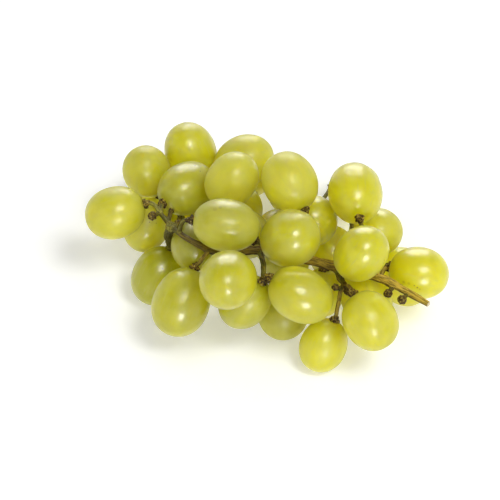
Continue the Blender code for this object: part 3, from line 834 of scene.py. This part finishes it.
def stem_lines(tree, bunch, shape):
    """Every line of the stem at fine steps: points, radii, distance along it, woodiness and dryness.

    A run thickens toward its forks by 1 + swelling * exp(-(distance / reach)^2). The main stem
    is tan at its cut end, darker olive brown further in and green at its tip.
    """
    radius = node_radius(tree)
    lines = []

    def add_line(points, wide, length, finish):
        wood, dry = (value * np.ones(len(points)) for value in finish)
        lines.append((points, wide, np.linspace(0.0, length, len(points)), wood, dry))

    for order, run in enumerate(chains_of(tree)):
        places = np.array([tree.place[node] for node in run])
        widths = np.array([radius[node] for node in run])
        if order > 0:
            widths[0] = widths[1]
        legs = distances(places)
        fine = resample(places, LINE_STEP)
        at = np.linspace(0.0, legs[-1], len(fine))
        wide = np.interp(at, legs, widths)
        if order == 0:
            wave, slow_wave = MAIN_STEM_WAVES
            wide = wide * (1.0 + MAIN_STEM_WANDER * np.sin(at / wave) * np.sin(at / slow_wave + 1.0))
            share = at / at[-1]
            wood = np.where(share < BROWN_SHARE, 1.0, TIP_WOODINESS)
            dry = 1.0 - TAN_LOSS * np.clip((share - TAN_END_SHARE) / TAN_FADE, 0.0, 1.0)
        else:
            wood, dry = STALK_FINISH.get(tree.berry.get(run[-1]), OTHER_STALKS)
            knot = np.exp(-((at / shape.fork_reach * MM) ** 2))
            wide = wide * (1.0 + shape.fork_swelling * knot)
            heavy = np.clip((wide - WOODY_RADIUS) / WOODY_FADE, 0.0, 1.0)
            heavy *= np.clip((fine[:, 0] - GREEN_END) / GREEN_FADE, 0.0, 1.0)
            wood = np.maximum(wood, heavy)
        add_line(fine, wide, legs[-1], (wood, dry))
    for number in BERRIES:
        add_line(*collar_path(bunch, number), KNOB_PATTERN, COLLAR_FINISH.get(number, OTHER_COLLARS))
    for start, end, knob_radius in STUBS:
        anchor = tree.place[tree.nearest(start)]
        fine = resample([anchor, (anchor + np.array(end)) * 0.5, end], LINE_STEP)
        add_line(fine, np.full(len(fine), shape.stub_radius / MM), STUB_PATTERN, STUB_FINISH)
        add_line(*knob_path(end, knob_radius), KNOB_PATTERN, KNOB_FINISH)
    return lines


def fused(item, voxel):
    """The object's overlapping skins melted into one, as a new mesh of small even faces."""
    melt = item.modifiers.new("melt", "REMESH")
    melt.mode = "VOXEL"
    melt.voxel_size = voxel
    melt.adaptivity = 0.0
    graph = bpy.context.evaluated_depsgraph_get()
    mesh = bpy.data.meshes.new_from_object(item.evaluated_get(graph))
    item.modifiers.clear()
    old = item.data
    item.data = mesh
    bpy.data.meshes.remove(old)
    mesh.name = item.name
    return item


def vectors_of(items, field):
    """A field of the mesh's vertices as an array of vectors."""
    flat = np.zeros(len(items) * 3, dtype=np.float32)
    items.foreach_get(field, flat)
    return flat.reshape(-1, 3).astype(float)


def move_vertices(mesh, places):
    """Puts the mesh's vertices at places in millimetres."""
    mesh.vertices.foreach_set("co", (places * MM).astype(np.float32).ravel())
    mesh.update()


def smoothed(mesh, places, passes):
    """Each vertex moved toward the mean of its neighbours, then back, so that nothing shrinks."""
    edges = np.zeros(len(mesh.edges) * 2, dtype=np.int32)
    mesh.edges.foreach_get("vertices", edges)
    one, other = edges.reshape(-1, 2).T
    count = np.bincount(one, minlength=len(places)) + np.bincount(other, minlength=len(places))
    for step in range(passes * 2):
        total = np.zeros_like(places)
        for k in range(3):
            total[:, k] = np.bincount(one, places[other, k], len(places))
            total[:, k] += np.bincount(other, places[one, k], len(places))
        share = SMOOTH_FORTH if step % 2 == 0 else SMOOTH_BACK
        places = places + share * (total / count[:, None] - places)
    return places


def bark_readings(places, lines):
    """For each vertex: its place on the bark (round and along), woodiness, dryness and line's radius.

    The nearest point of any line is the one whose own surface is nearest. The place on the bark
    is r cos a, r sin a and the distance along, so a pattern on it runs with the stem.
    """
    points, wide, _, wood, dry = (np.concatenate(part) for part in zip(*lines))
    along = np.concatenate([line[2] + LINE_APART * k for k, line in enumerate(lines)])
    tangent = np.concatenate([np.gradient(line[0], axis=0) for line in lines])
    tangent /= np.linalg.norm(tangent, axis=1)[:, None]
    nearest = np.zeros(len(places), dtype=int)
    for start in range(0, len(places), BLOCK):
        block = places[start:start + BLOCK]
        gap2 = (block ** 2).sum(axis=1)[:, None] + (points ** 2).sum(axis=1)[None, :]
        gap2 -= 2.0 * block @ points.T
        nearest[start:start + BLOCK] = np.argmin(np.sqrt(np.maximum(gap2, 0.0)) - wide, axis=1)
    way = tangent[nearest]
    offset = places - points[nearest]
    step = (offset * way).sum(axis=1)
    across = offset - step[:, None] * way
    helper = np.where(np.abs(way[:, 2:3]) < 0.8, [[0.0, 0.0, 1.0]], [[1.0, 0.0, 0.0]])
    first = np.cross(way, helper)
    first /= np.linalg.norm(first, axis=1)[:, None]
    second = np.cross(way, first)
    around = [(across * first).sum(axis=1), (across * second).sum(axis=1)]
    place = np.stack(around + [along[nearest] + step], axis=-1)
    return place, wood[nearest], dry[nearest], wide[nearest]


def bark_ridges(places, bark):
    """How high the bark stands, about -1 to 1: winding ridges and a rough bark over them.

    The ridges are sin(count * angle + twist * distance + wander * ripple).
    """
    around = np.arctan2(bark[:, 1], bark[:, 0])
    winding = RIDGE_COUNT * around + RIDGE_TWIST * bark[:, 2]
    winding += RIDGE_WANDER * ripple(places, *RIDGE_WAVES)
    return RIDGE_SHARE * np.sin(winding) + ROUGH_SHARE * ripple(bark * ROUGH_STRETCH, *ROUGH_WAVES)


# Materials

def set_inputs(tree, node, inputs):
    """Each named input of a node set, or linked where its value is another node's output."""
    for key, value in inputs.items():
        if isinstance(value, bpy.types.NodeSocket):
            tree.links.new(value, node.inputs[key])
        else:
            node.inputs[key].default_value = value


def add_node(tree, kind, settings, inputs):
    """A node with its settings and inputs."""
    node = tree.nodes.new(kind)
    for key, value in settings.items():
        setattr(node, key, value)
    set_inputs(tree, node, inputs)
    return node


def attribute(tree, name, output="Fac"):
    """A value that the mesh carries."""
    return add_node(tree, "ShaderNodeAttribute", {"attribute_name": name}, {}).outputs[output]


def own_place(tree):
    """Coordinates in the object's own space."""
    return add_node(tree, "ShaderNodeTexCoord", {}, {}).outputs["Object"]


def solid(colour):
    """A colour with full opacity; another node's output stays as it is."""
    return colour if isinstance(colour, bpy.types.NodeSocket) else (*colour, 1.0)


def blend(tree, factor, one, other):
    """Two colours blended by a factor."""
    inputs = {0: factor, 6: solid(one), 7: solid(other)}
    return add_node(tree, "ShaderNodeMix", {"data_type": "RGBA"}, inputs).outputs[2]


def calc(tree, operation, one, other, clamp=False):
    """The sum or product of two numbers."""
    settings = {"operation": operation, "use_clamp": clamp}
    return add_node(tree, "ShaderNodeMath", settings, {0: one, 1: other}).outputs[0]


def spanned(tree, value, low, high, to_low=0.0, to_high=1.0):
    """A value carried from one span to another, held at its ends, and eased."""
    inputs = {"Value": value, "From Min": low, "From Max": high, "To Min": to_low, "To Max": to_high}
    return add_node(tree, "ShaderNodeMapRange", {"interpolation_type": "SMOOTHSTEP"}, inputs).outputs[0]


def stretched(tree, vector, scale):
    """A pattern's coordinates, scaled along each axis."""
    return add_node(tree, "ShaderNodeMapping", {}, {"Vector": vector, "Scale": scale}).outputs[0]


def noise(tree, vector, scale, detail=2.0, rough=0.5):
    """Cloudy noise, 0 to 1."""
    inputs = {"Vector": vector, "Scale": scale, "Detail": detail, "Roughness": rough}
    return add_node(tree, "ShaderNodeTexNoise", {}, inputs).outputs[0]


def bumped(tree, height, strength, depth):
    """The surface's direction, tilted by the slopes of a pattern."""
    inputs = {"Strength": strength, "Distance": depth, "Height": height}
    return add_node(tree, "ShaderNodeBump", {}, inputs).outputs[0]


def new_surface(name):
    """An empty material with its principled shader."""
    surface = bpy.data.materials.new(name)
    surface.use_nodes = True
    tree = surface.node_tree
    return surface, tree, tree.nodes["Principled BSDF"]


def mark_places(bunch):
    """Middles, radii and strengths of the marks on the skin, in millimetres of the finished bunch.

    Each is where the line of sight through its place right and up of the berry's middle enters
    the oval: the nearer root of |p|^2 / wide^2 + (p.axis)^2 * (1 / long^2 - 1 / wide^2) = 1.
    """
    toward = unit(FRONT_ABOVE)
    upward = unit(np.cross(toward, [1.0, 0.0, 0.0]))
    marks = []
    for number, right, up, radius, strength in MARKS:
        middle, axis, wide, long = (part[number - 1] for part in bunch)
        narrow = 1.0 / wide ** 2
        extra = 1.0 / long ** 2 - narrow
        base = np.array([right, 0.0, 0.0]) + up * upward
        a = narrow + extra * (toward @ axis) ** 2
        b = extra * (toward @ axis) * (base @ axis)
        c = narrow * (base @ base) + extra * (base @ axis) ** 2 - 1.0
        near = (-b + math.sqrt(max(b * b - a * c, 0.0))) / a
        marks.append((middle + base + near * toward + PLAN_SHIFT, radius, strength))
    return marks


def skin_surface(look, marks):
    """Clear skin over juicy flesh, green to yellow by ripeness and, on some inner berries, by painted light.

    Over it lie pale veins, a milky bloom, tiny brown specks, the scar and the placed marks.
    """
    surface, tree, shader = new_surface("berry_skin")
    place = attribute(tree, "skin_place", "Vector")
    height = attribute(tree, "height")
    clouds = noise(tree, place, *RIPENESS_CLOUDS)
    uneven = spanned(tree, clouds, *CLOUD_SPAN, -RIPENESS_SWING, RIPENESS_SWING)
    # The per-berry yellowing is raised as painted light on the inner berries 10, 16, 28, 30 and 31
    ripe = calc(tree, "ADD", attribute(tree, "ripeness"), uneven, True)
    flesh = blend(tree, ripe, look.green_colour, look.yellow_colour)
    veins = noise(tree, stretched(tree, place, VEIN_STRETCH), 1.0)
    flesh = blend(tree, spanned(tree, veins, *VEIN_SPAN, 0.0, VEIN_SHARE), flesh, look.vein_colour)
    near_stalk = spanned(tree, height, GREEN_HEIGHT, 1.0, 0.0, GREEN_SHARE)
    flesh = blend(tree, near_stalk, flesh, look.green_colour)
    dull = spanned(tree, attribute(tree, "bloom"), 0.0, 1.0, -BLOOM_SWING, BLOOM_SWING)
    bloom = spanned(tree, calc(tree, "ADD", noise(tree, place, *BLOOM_CLOUDS), dull), *BLOOM_SPAN)
    flesh = blend(tree, calc(tree, "MULTIPLY", bloom, look.bloom), flesh, look.bloom_colour)
    dots = add_node(tree, "ShaderNodeTexVoronoi", {}, {"Vector": place, "Scale": SPECK_SCALE})
    near_dot = spanned(tree, dots.outputs["Distance"], 0.0, SPECK_RADIUS, SPECK_STRENGTH, 0.0)
    picked = add_node(tree, "ShaderNodeSeparateColor", {}, {0: dots.outputs["Color"]})
    some = spanned(tree, picked.outputs[0], *SPECK_RARITY)
    flesh = blend(tree, calc(tree, "MULTIPLY", near_dot, some), flesh, look.speck_colour)
    scar = spanned(tree, height, *SCAR_HEIGHTS, SCAR_STRENGTH, 0.0)
    flesh = blend(tree, scar, flesh, look.speck_colour)
    where = own_place(tree)
    for middle, radius, strength in marks:
        places = {0: where, 1: tuple(middle * MM)}
        gap = add_node(tree, "ShaderNodeVectorMath", {"operation": "DISTANCE"}, places).outputs["Value"]
        near = spanned(tree, gap, radius * 0.5 * MM, radius * MM, strength, 0.0)
        flesh = blend(tree, near, flesh, look.speck_colour)
    tilted = bumped(tree, noise(tree, place, *SKIN_GRAIN), *SKIN_BUMP)
    set_inputs(tree, shader, {
        "Base Color": flesh,
        "Roughness": spanned(tree, bloom, 0.0, 1.0, look.gloss_roughness, look.bloom_roughness),
        "IOR": REFRACTION,
        "Normal": tilted,
        "Subsurface Weight": look.translucency,
        "Subsurface Radius": GLOW_SHARES,
        "Subsurface Scale": look.glow_depth,
        "Transmission Weight": look.clearness,
        "Coat Weight": spanned(tree, bloom, 0.0, 1.0, look.shine, look.shine * DULLED_SHINE),
        "Coat Roughness": look.shine_roughness,
        "Coat Normal": tilted,
        "Sheen Weight": look.rim,
        "Sheen Roughness": RIM_ROUGHNESS,
        "Sheen Tint": solid(look.rim_colour),
    })
    return surface


def bark_surface(look):
    """Bark with grooves along it: brown ridges and dark grooves on wood, dull green on the stalks.

    Wood and stalks carry a painted shade underneath, collars and knobs are mottled dark with pale flecks.
    """
    surface, tree, shader = new_surface("stem_wood")
    place = attribute(tree, "bark_place", "Vector")
    wood = attribute(tree, "woodiness")
    dry = attribute(tree, "dryness")
    streaks = noise(tree, stretched(tree, place, GROOVE_STRETCH), *GROOVES)
    blotches = noise(tree, place, *BLOTCHES)
    ridge = spanned(tree, spanned(tree, streaks, *RIDGE_SPAN), 0.0, 1.0, GROOVE_LIGHT, 1.0)
    # Painted shade: bark and stalks darken from their top to their underside, by which way the surface
    # faces; the dark end is the groove colour
    sunny = spanned(tree, attribute(tree, "upward"), *SHADE_FACING_SPAN, UNDERSIDE_LIGHT, 1.0)
    light = calc(tree, "MULTIPLY", ridge, sunny)
    brown = blend(tree, light, look.groove_and_shade_colour, blend(tree, dry, look.inner_bark_colour, look.bark_colour))
    top_green = blend(tree, dry, look.stalk_colour, look.pale_stalk_colour)
    # On the stalks the shade colour gives their darker streaks and the painted shade underneath
    green = blend(tree, light, look.stalk_shade_colour, top_green)
    patchy = spanned(tree, blotches, *CLOUD_SPAN, -WOOD_SWING, WOOD_SWING)
    woody = spanned(tree, calc(tree, "ADD", wood, patchy), *WOODY_SPAN)
    colour = blend(tree, woody, green, brown)
    collar = spanned(tree, wood, 1.0, 1.1)
    mottle = noise(tree, place, *MOTTLE)
    warts = spanned(tree, mottle, *WART_SPAN, WART_SHARE, 0.0)
    colour = blend(tree, calc(tree, "MULTIPLY", warts, collar), colour, look.groove_and_shade_colour)
    flecks = spanned(tree, mottle, *FLECK_SPAN, 0.0, FLECK_SHARE)
    colour = blend(tree, calc(tree, "MULTIPLY", flecks, collar), colour, look.fleck_colour)
    set_inputs(tree, shader, {
        "Base Color": blend(tree, attribute(tree, "cut_face"), colour, look.cut_colour),
        "Roughness": spanned(tree, streaks, *CLOUD_SPAN, *BARK_ROUGHNESS),
        "Specular IOR Level": look.shine,
        "Normal": bumped(tree, streaks, *BARK_BUMP),
    })
    return surface


def paper_surface(stage):
    """The matt pale paper of the studio, slightly mottled, and lit from behind as on a light table."""
    surface, tree, shader = new_surface("studio_paper")
    grain = spanned(tree, noise(tree, own_place(tree), PAPER_GRAIN), *CLOUD_SPAN)
    dim = [value * PAPER_DIMMING for value in stage.paper_colour]
    set_inputs(tree, shader, {
        "Base Color": blend(tree, grain, dim, stage.paper_colour),
        "Roughness": PAPER_ROUGHNESS,
        "Emission Color": solid(WHITE),
        "Emission Strength": stage.paper_glow,
    })
    return surface


# Settings

def number_setting(name, description, default, low, high, **kind):
    """A number, of a kind of its own where one is given."""
    return bpy.props.FloatProperty(
        name=name, description=description, default=default, min=low, max=high, **kind)


def length_setting(name, description, default, low, high):
    """A length in metres."""
    return number_setting(name, description, default, low, high, unit="LENGTH", precision=5)


def share_setting(name, description, default, low=0.0, high=1.0):
    """A share, of one unless told otherwise."""
    return number_setting(name, description, default, low, high, subtype="FACTOR")


def colour_setting(name, description, default):
    """A colour."""
    return bpy.props.FloatVectorProperty(
        name=name, description=description, default=default, min=0.0, max=1.0, size=3, subtype="COLOR")


def count_setting(name, description, default, low, high):
    """A whole number."""
    return bpy.props.IntProperty(name=name, description=description, default=default, min=low, max=high)


class GrapeBerrySettings(bpy.types.PropertyGroup):
    """Shape and finish of the berries."""

    rings: count_setting("Rings", "Rings of faces from the scar to the stalk", 44, 16, 80)
    sides: count_setting("Sides", "Faces round a berry", 64, 24, 96)
    fullness: number_setting("Fullness", "2 is a plain oval, more is fuller", 2.08, 2.0, 2.3)
    unevenness: share_setting("Unevenness", "Share by which the skin wanders", 0.0035, 0.0, 0.02)
    dimple_depth: length_setting("Dimple Depth", "How far the stalk end is sunk", 0.0004, 0.0, 0.002)
    dimple_radius: length_setting("Dimple Radius", "Radius of the dimple at the stalk", 0.0024, 0.001, 0.005)
    scar_depth: length_setting("Scar Depth", "How far the scar is sunk", 0.0001, 0.0, 0.001)
    scar_radius: length_setting("Scar Radius", "Radius of the scar at the far end", 0.0008, 0.0003, 0.002)
    green_colour: colour_setting("Green Flesh", "Flesh of the least ripe berries", (0.50, 0.50, 0.006))
    yellow_colour: colour_setting("Yellow Flesh", "Flesh of the ripest berries", (0.88, 0.81, 0.012))
    vein_colour: colour_setting("Veins", "Pale veins under the skin", (0.64, 0.61, 0.10))
    bloom_colour: colour_setting("Bloom", "Waxy bloom on the skin", (0.70, 0.68, 0.25))
    speck_colour: colour_setting("Specks", "Tiny brown specks and the scar", (0.16, 0.09, 0.02))
    bloom: share_setting("Bloom Amount", "How milky the bloom is", 0.25)
    gloss_roughness: share_setting("Bare Roughness", "Roughness of bare skin", 0.36)
    bloom_roughness: share_setting("Bloom Roughness", "Roughness under bloom", 0.5)
    rim_colour: colour_setting("Rim", "Milky light along a berry's edge", (1.0, 0.97, 0.75))
    rim: share_setting("Rim Amount", "How milky a berry's edge is", 0.6)
    shine: share_setting("Shine", "How strongly bare skin mirrors", 0.5)
    shine_roughness: share_setting("Shine Roughness", "How soft the sharpest highlight is", 0.2)
    translucency: share_setting("Translucency", "Share of light that wanders through the flesh", 0.9)
    clearness: share_setting("Clearness", "Share of light that goes straight through", 0.4)
    glow_depth: length_setting("Glow Depth", "How far light travels in the flesh", 0.024, 0.0, 0.05)


class GrapeStemSettings(bpy.types.PropertyGroup):
    """Shape and finish of the stem."""

    voxel: length_setting("Fineness", "Size of the stem's small faces", 0.000325, 0.0002, 0.001)
    ridge_depth: length_setting("Ridge Depth", "Depth of the grooves in the bark", 0.00022, 0.0, 0.001)
    wart_depth: length_setting("Wart Depth", "Height of the warts on collars", 0.00028, 0.0, 0.001)
    fork_swelling: share_setting("Fork Swelling", "Share by which a fork is thicker", 0.45, 0.0, 1.5)
    fork_reach: length_setting("Fork Reach", "How far the swelling reaches", 0.0022, 0.0005, 0.006)
    stub_radius: length_setting("Stub Radius", "Radius of the bare stubs", 0.0009, 0.0004, 0.002)
    # Tan ridges at the cut end of the main stem, darker olive brown ridges further in
    bark_colour: colour_setting("Dry Bark", "Tan ridges near the cut end", (0.62, 0.43, 0.04))
    inner_bark_colour: colour_setting("Fresh Bark", "Olive brown ridges further in", (0.13, 0.095, 0.007))
    # Dark grooves and warts, and also the painted shade on the underside of the bark
    groove_and_shade_colour: colour_setting("Grooves", "Dark grooves and warts", (0.035, 0.016, 0.002))
    fleck_colour: colour_setting("Flecks", "Pale flecks on collars and knobs", (0.60, 0.48, 0.20))
    stalk_colour: colour_setting("Fresh Stalks", "Green of the freshest stalks", (0.12, 0.11, 0.004))
    pale_stalk_colour: colour_setting("Dry Stalks", "Green of the driest stalks", (0.44, 0.40, 0.07))
    # Darker streaks of the stalks, and the painted shade on their undersides
    stalk_shade_colour: colour_setting("Stalk Shade", "Darker streaks of stalks", (0.045, 0.038, 0.001))
    cut_colour: colour_setting("Cut Face", "Pale wood at the cut end", (0.72, 0.62, 0.42))
    shine: share_setting("Shine", "How strongly the bark mirrors", 0.2)


class GrapeStageSettings(bpy.types.PropertyGroup):
    """The studio: floor, backdrop, lights and camera. Powers are in watts."""

    paper_colour: colour_setting("Paper", "Floor and backdrop", (0.92, 0.92, 0.91))
    paper_glow: number_setting("Paper Glow", "Light from behind the paper", 0.3, 0.0, 2.0)
    floor_radius: length_setting("Floor Radius", "Radius of the flat floor", 1.7, 0.5, 5.0)
    wall_height: length_setting("Backdrop Height", "Height of the backdrop", 1.0, 0.2, 4.0)
    wall_bend: length_setting("Backdrop Bend", "Radius of the bend up from the floor", 0.6, 0.1, 2.0)
    daylight: number_setting("Daylight", "Strength of the light from all round", 0.24, 0.0, 5.0)
    key_power: number_setting("Key Light", "Power of the main light", 11.0, 0.0, 500.0)
    glint_power: number_setting("Highlight Lights", "Power of the two small lights", 10.0, 0.0, 100.0)
    rim_power: number_setting("Rim Light", "Power of the light behind the bunch", 26.0, 0.0, 100.0)
    camera_distance: length_setting("Camera Distance", "From the floor point it looks at", 1.0, 0.3, 5.0)
    camera_rise: number_setting(
        "Camera Angle", "How far above the floor the camera stands",
        math.radians(45.0), 0.0, math.radians(89.0), subtype="ANGLE")
    camera_lens: number_setting("Lens", "Focal length in millimetres", 170.0, 20.0, 400.0)


# Operators

class GRAPES_OT_berries(bpy.types.Operator):
    """Add the forty-one berries"""

    bl_idname = "grapes.add_berries"
    bl_label = "Berries"

    def execute(self, context):
        shape = context.scene.grape_berries
        bunch = berry_places()
        surface = skin_surface(shape, mark_places(bunch))
        chance = np.random.default_rng(PATTERN_SEED)
        for number, (middle, axis, wide, long) in zip(BERRIES, zip(*bunch)):
            name = "berry_%02d" % number
            verts, quads, triangles, local = berry_skin_grid(
                middle + PLAN_SHIFT, axis, wide, long, number, shape)
            berry = mesh_object("skin_" + name, verts, quads, triangles)
            offset = chance.uniform(-PATTERN_SPREAD, PATTERN_SPREAD, size=3)
            point_values(berry.data, "skin_place", "FLOAT_VECTOR", local + offset)
            # Per-berry yellowing, raised as painted light on the inner berries 10, 16, 28, 30 and 31
            for key, values in (
                    ("height", local[:, 2]),
                    ("ripeness", np.full(len(verts), BERRIES[number][3])),
                    ("bloom", np.full(len(verts), BLOOM_SHARES.get(number, OTHER_BLOOM)))):
                point_values(berry.data, key, "FLOAT", values)
            berry.data.materials.append(surface)
            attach(berry, "root")
            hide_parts(name)
        return {"FINISHED"}


class GRAPES_OT_stem(bpy.types.Operator):
    """Add the branching stem with its collars and stubs"""

    bl_idname = "grapes.add_stem"
    bl_label = "Stem"

    def execute(self, context):
        shape = context.scene.grape_stem
        bunch = berry_places()
        lines = stem_lines(grow_stem(bunch), bunch, shape)
        lines = [(line[0] + PLAN_SHIFT, *line[1:]) for line in lines]
        parts = [tube_grid(line[0], line[1], TUBE_SIDES) for line in lines]
        stem = fused(mesh_object("branching_stem", *joined(parts)), shape.voxel)
        mesh = stem.data
        places = smoothed(mesh, vectors_of(mesh.vertices, "co") / MM, SMOOTH_PASSES)
        bark, wood, dry, wide = bark_readings(places, lines)
        move_vertices(mesh, places)
        normals = vectors_of(mesh.vertex_normals, "vector")
        collar = np.clip((wood - 1.0) / WARTY_WOODINESS, 0.0, 1.0)
        rise = shape.ridge_depth / MM * bark_ridges(places, bark)
        rise *= (1.0 - collar) * np.clip(wide / RIDGED_RADIUS, LEAST_RIDGES, 1.0)
        rise += shape.wart_depth / MM * ripple(places, *WART_WAVES) * collar
        places = places + rise[:, None] * normals
        move_vertices(mesh, places)
        cut_end = lines[0][0][0]
        cut_way = unit(cut_end - lines[0][0][2])
        cut = np.clip(((places - cut_end) @ cut_way + CUT_DEPTH) / CUT_DEPTH, 0.0, 1.0)
        cut *= np.linalg.norm(places - cut_end, axis=1) < CUT_RADIUS
        point_values(mesh, "bark_place", "FLOAT_VECTOR", bark)
        # The upward facing of each vertex drives the painted shade under the stem
        for key, values in (
                ("woodiness", wood), ("dryness", dry), ("upward", normals[:, 2]), ("cut_face", cut)):
            point_values(mesh, key, "FLOAT", values)
        mesh.shade_smooth()
        mesh.materials.clear()
        mesh.materials.append(bark_surface(shape))
        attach(stem, "root")
        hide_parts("stem")
        return {"FINISHED"}


class GRAPES_OT_stage(bpy.types.Operator):
    """Add the studio floor, backdrop, lights and camera"""

    bl_idname = "grapes.add_stage"
    bl_label = "Studio"

    def execute(self, context):
        stage = context.scene.grape_stage
        paper = studio_paper(stage)
        paper.data.materials.append(paper_surface(stage))
        aim = Vector(PLAN_SHIFT * MM)
        add_daylight(context.scene, stage.daylight)
        for name, power, way, distance, size, hidden in LIGHTS:
            lamp = add_softbox(name, aim, way, distance, size, getattr(stage, power))
            setattr(lamp, hidden, False)
        add_camera(context.scene, aim, stage)
        context.scene.view_settings.view_transform = "Standard"
        return {"FINISHED"}


def studio_paper(stage):
    """Floor and backdrop in one sheet of paper, turned round the middle.

    The outline is the flat floor out to its radius, a quarter circle up, and a straight wall.
    """
    bend = np.linspace(0.0, math.pi / 2.0, PAPER_BEND_RINGS)
    wall = stage.floor_radius + stage.wall_bend
    out = np.concatenate([PAPER_RINGS, stage.floor_radius + stage.wall_bend * np.sin(bend), [wall]])
    up = np.concatenate([
        np.zeros(len(PAPER_RINGS)), stage.wall_bend * (1.0 - np.cos(bend)),
        [stage.wall_bend + stage.wall_height]])
    a = 2.0 * math.pi * np.arange(PAPER_SIDES) / PAPER_SIDES
    high = np.repeat(up[:, None], PAPER_SIDES, axis=1)
    rings = np.stack([out[:, None] * np.cos(a), out[:, None] * np.sin(a), high], axis=-1)
    verts = np.concatenate([rings.reshape(-1, 3), [[0.0, 0.0, 0.0]]]) / MM
    here, after, quads = ring_faces(len(out), PAPER_SIDES)
    middle = np.stack([np.full(PAPER_SIDES, len(verts) - 1), here, after], axis=-1)
    return mesh_object("studio_paper", verts, quads[:, ::-1], middle)


def add_daylight(scene, strength):
    """Even white light from all round."""
    world = bpy.data.worlds.new("daylight")
    world.use_nodes = True
    sky = world.node_tree.nodes["Background"]
    set_inputs(world.node_tree, sky, {"Color": solid(WHITE), "Strength": strength})
    scene.world = world


def add_softbox(name, aim, way, distance, size, power):
    """A square softbox that looks at the bunch from a direction."""
    lamp = bpy.data.lights.new(name, "AREA")
    lamp.shape = "SQUARE"
    lamp.size = size
    lamp.energy = power
    item = bpy.data.objects.new(name, lamp)
    direction = Vector(way).normalized()
    item.location = aim + direction * distance
    item.rotation_euler = direction.to_track_quat("Z", "Y").to_euler()
    bpy.context.scene.collection.objects.link(item)
    return item


def add_camera(scene, aim, stage):
    """The camera in front of the bunch and above it."""
    data = bpy.data.cameras.new("camera")
    data.lens = stage.camera_lens
    data.sensor_width = SENSOR_WIDTH
    data.clip_start, data.clip_end = CLIP
    camera = bpy.data.objects.new("camera", data)
    way = Vector((0.0, -math.cos(stage.camera_rise), math.sin(stage.camera_rise)))
    camera.location = aim + way * stage.camera_distance
    camera.rotation_euler = way.to_track_quat("Z", "Y").to_euler()
    scene.collection.objects.link(camera)
    scene.camera = camera


class GRAPES_PT_sidebar(bpy.types.Panel):
    """Everything that makes the bunch, in the sidebar of the 3D view"""

    bl_idname = "GRAPES_PT_sidebar"
    bl_label = "Bunch of Grapes"
    bl_space_type = "VIEW_3D"
    bl_region_type = "UI"
    bl_category = "Grapes"

    def draw(self, context):
        groups = (
            (GRAPES_OT_berries.bl_idname, context.scene.grape_berries),
            (GRAPES_OT_stem.bl_idname, context.scene.grape_stem),
            (GRAPES_OT_stage.bl_idname, context.scene.grape_stage),
        )
        for operator, settings in groups:
            box = self.layout.box()
            box.operator(operator)
            for key in settings.bl_rna.properties.keys():
                if key not in {"rna_type", "name"}:
                    box.prop(settings, key)


CLASSES = (
    GrapeBerrySettings,
    GrapeStemSettings,
    GrapeStageSettings,
    GRAPES_OT_berries,
    GRAPES_OT_stem,
    GRAPES_OT_stage,
    GRAPES_PT_sidebar,
)


def register():
    for item in CLASSES:
        bpy.utils.register_class(item)
    bpy.types.Scene.grape_berries = bpy.props.PointerProperty(type=GrapeBerrySettings)
    bpy.types.Scene.grape_stem = bpy.props.PointerProperty(type=GrapeStemSettings)
    bpy.types.Scene.grape_stage = bpy.props.PointerProperty(type=GrapeStageSettings)


def unregister():
    del bpy.types.Scene.grape_stage
    del bpy.types.Scene.grape_stem
    del bpy.types.Scene.grape_berries
    for item in reversed(CLASSES):
        bpy.utils.unregister_class(item)


def main():
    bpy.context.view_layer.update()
    register()
    bpy.ops.grapes.add_stage()
    bpy.ops.grapes.add_berries()
    bpy.ops.grapes.add_stem()
    bpy.context.view_layer.update()


if __name__ == "__main__":
    main()
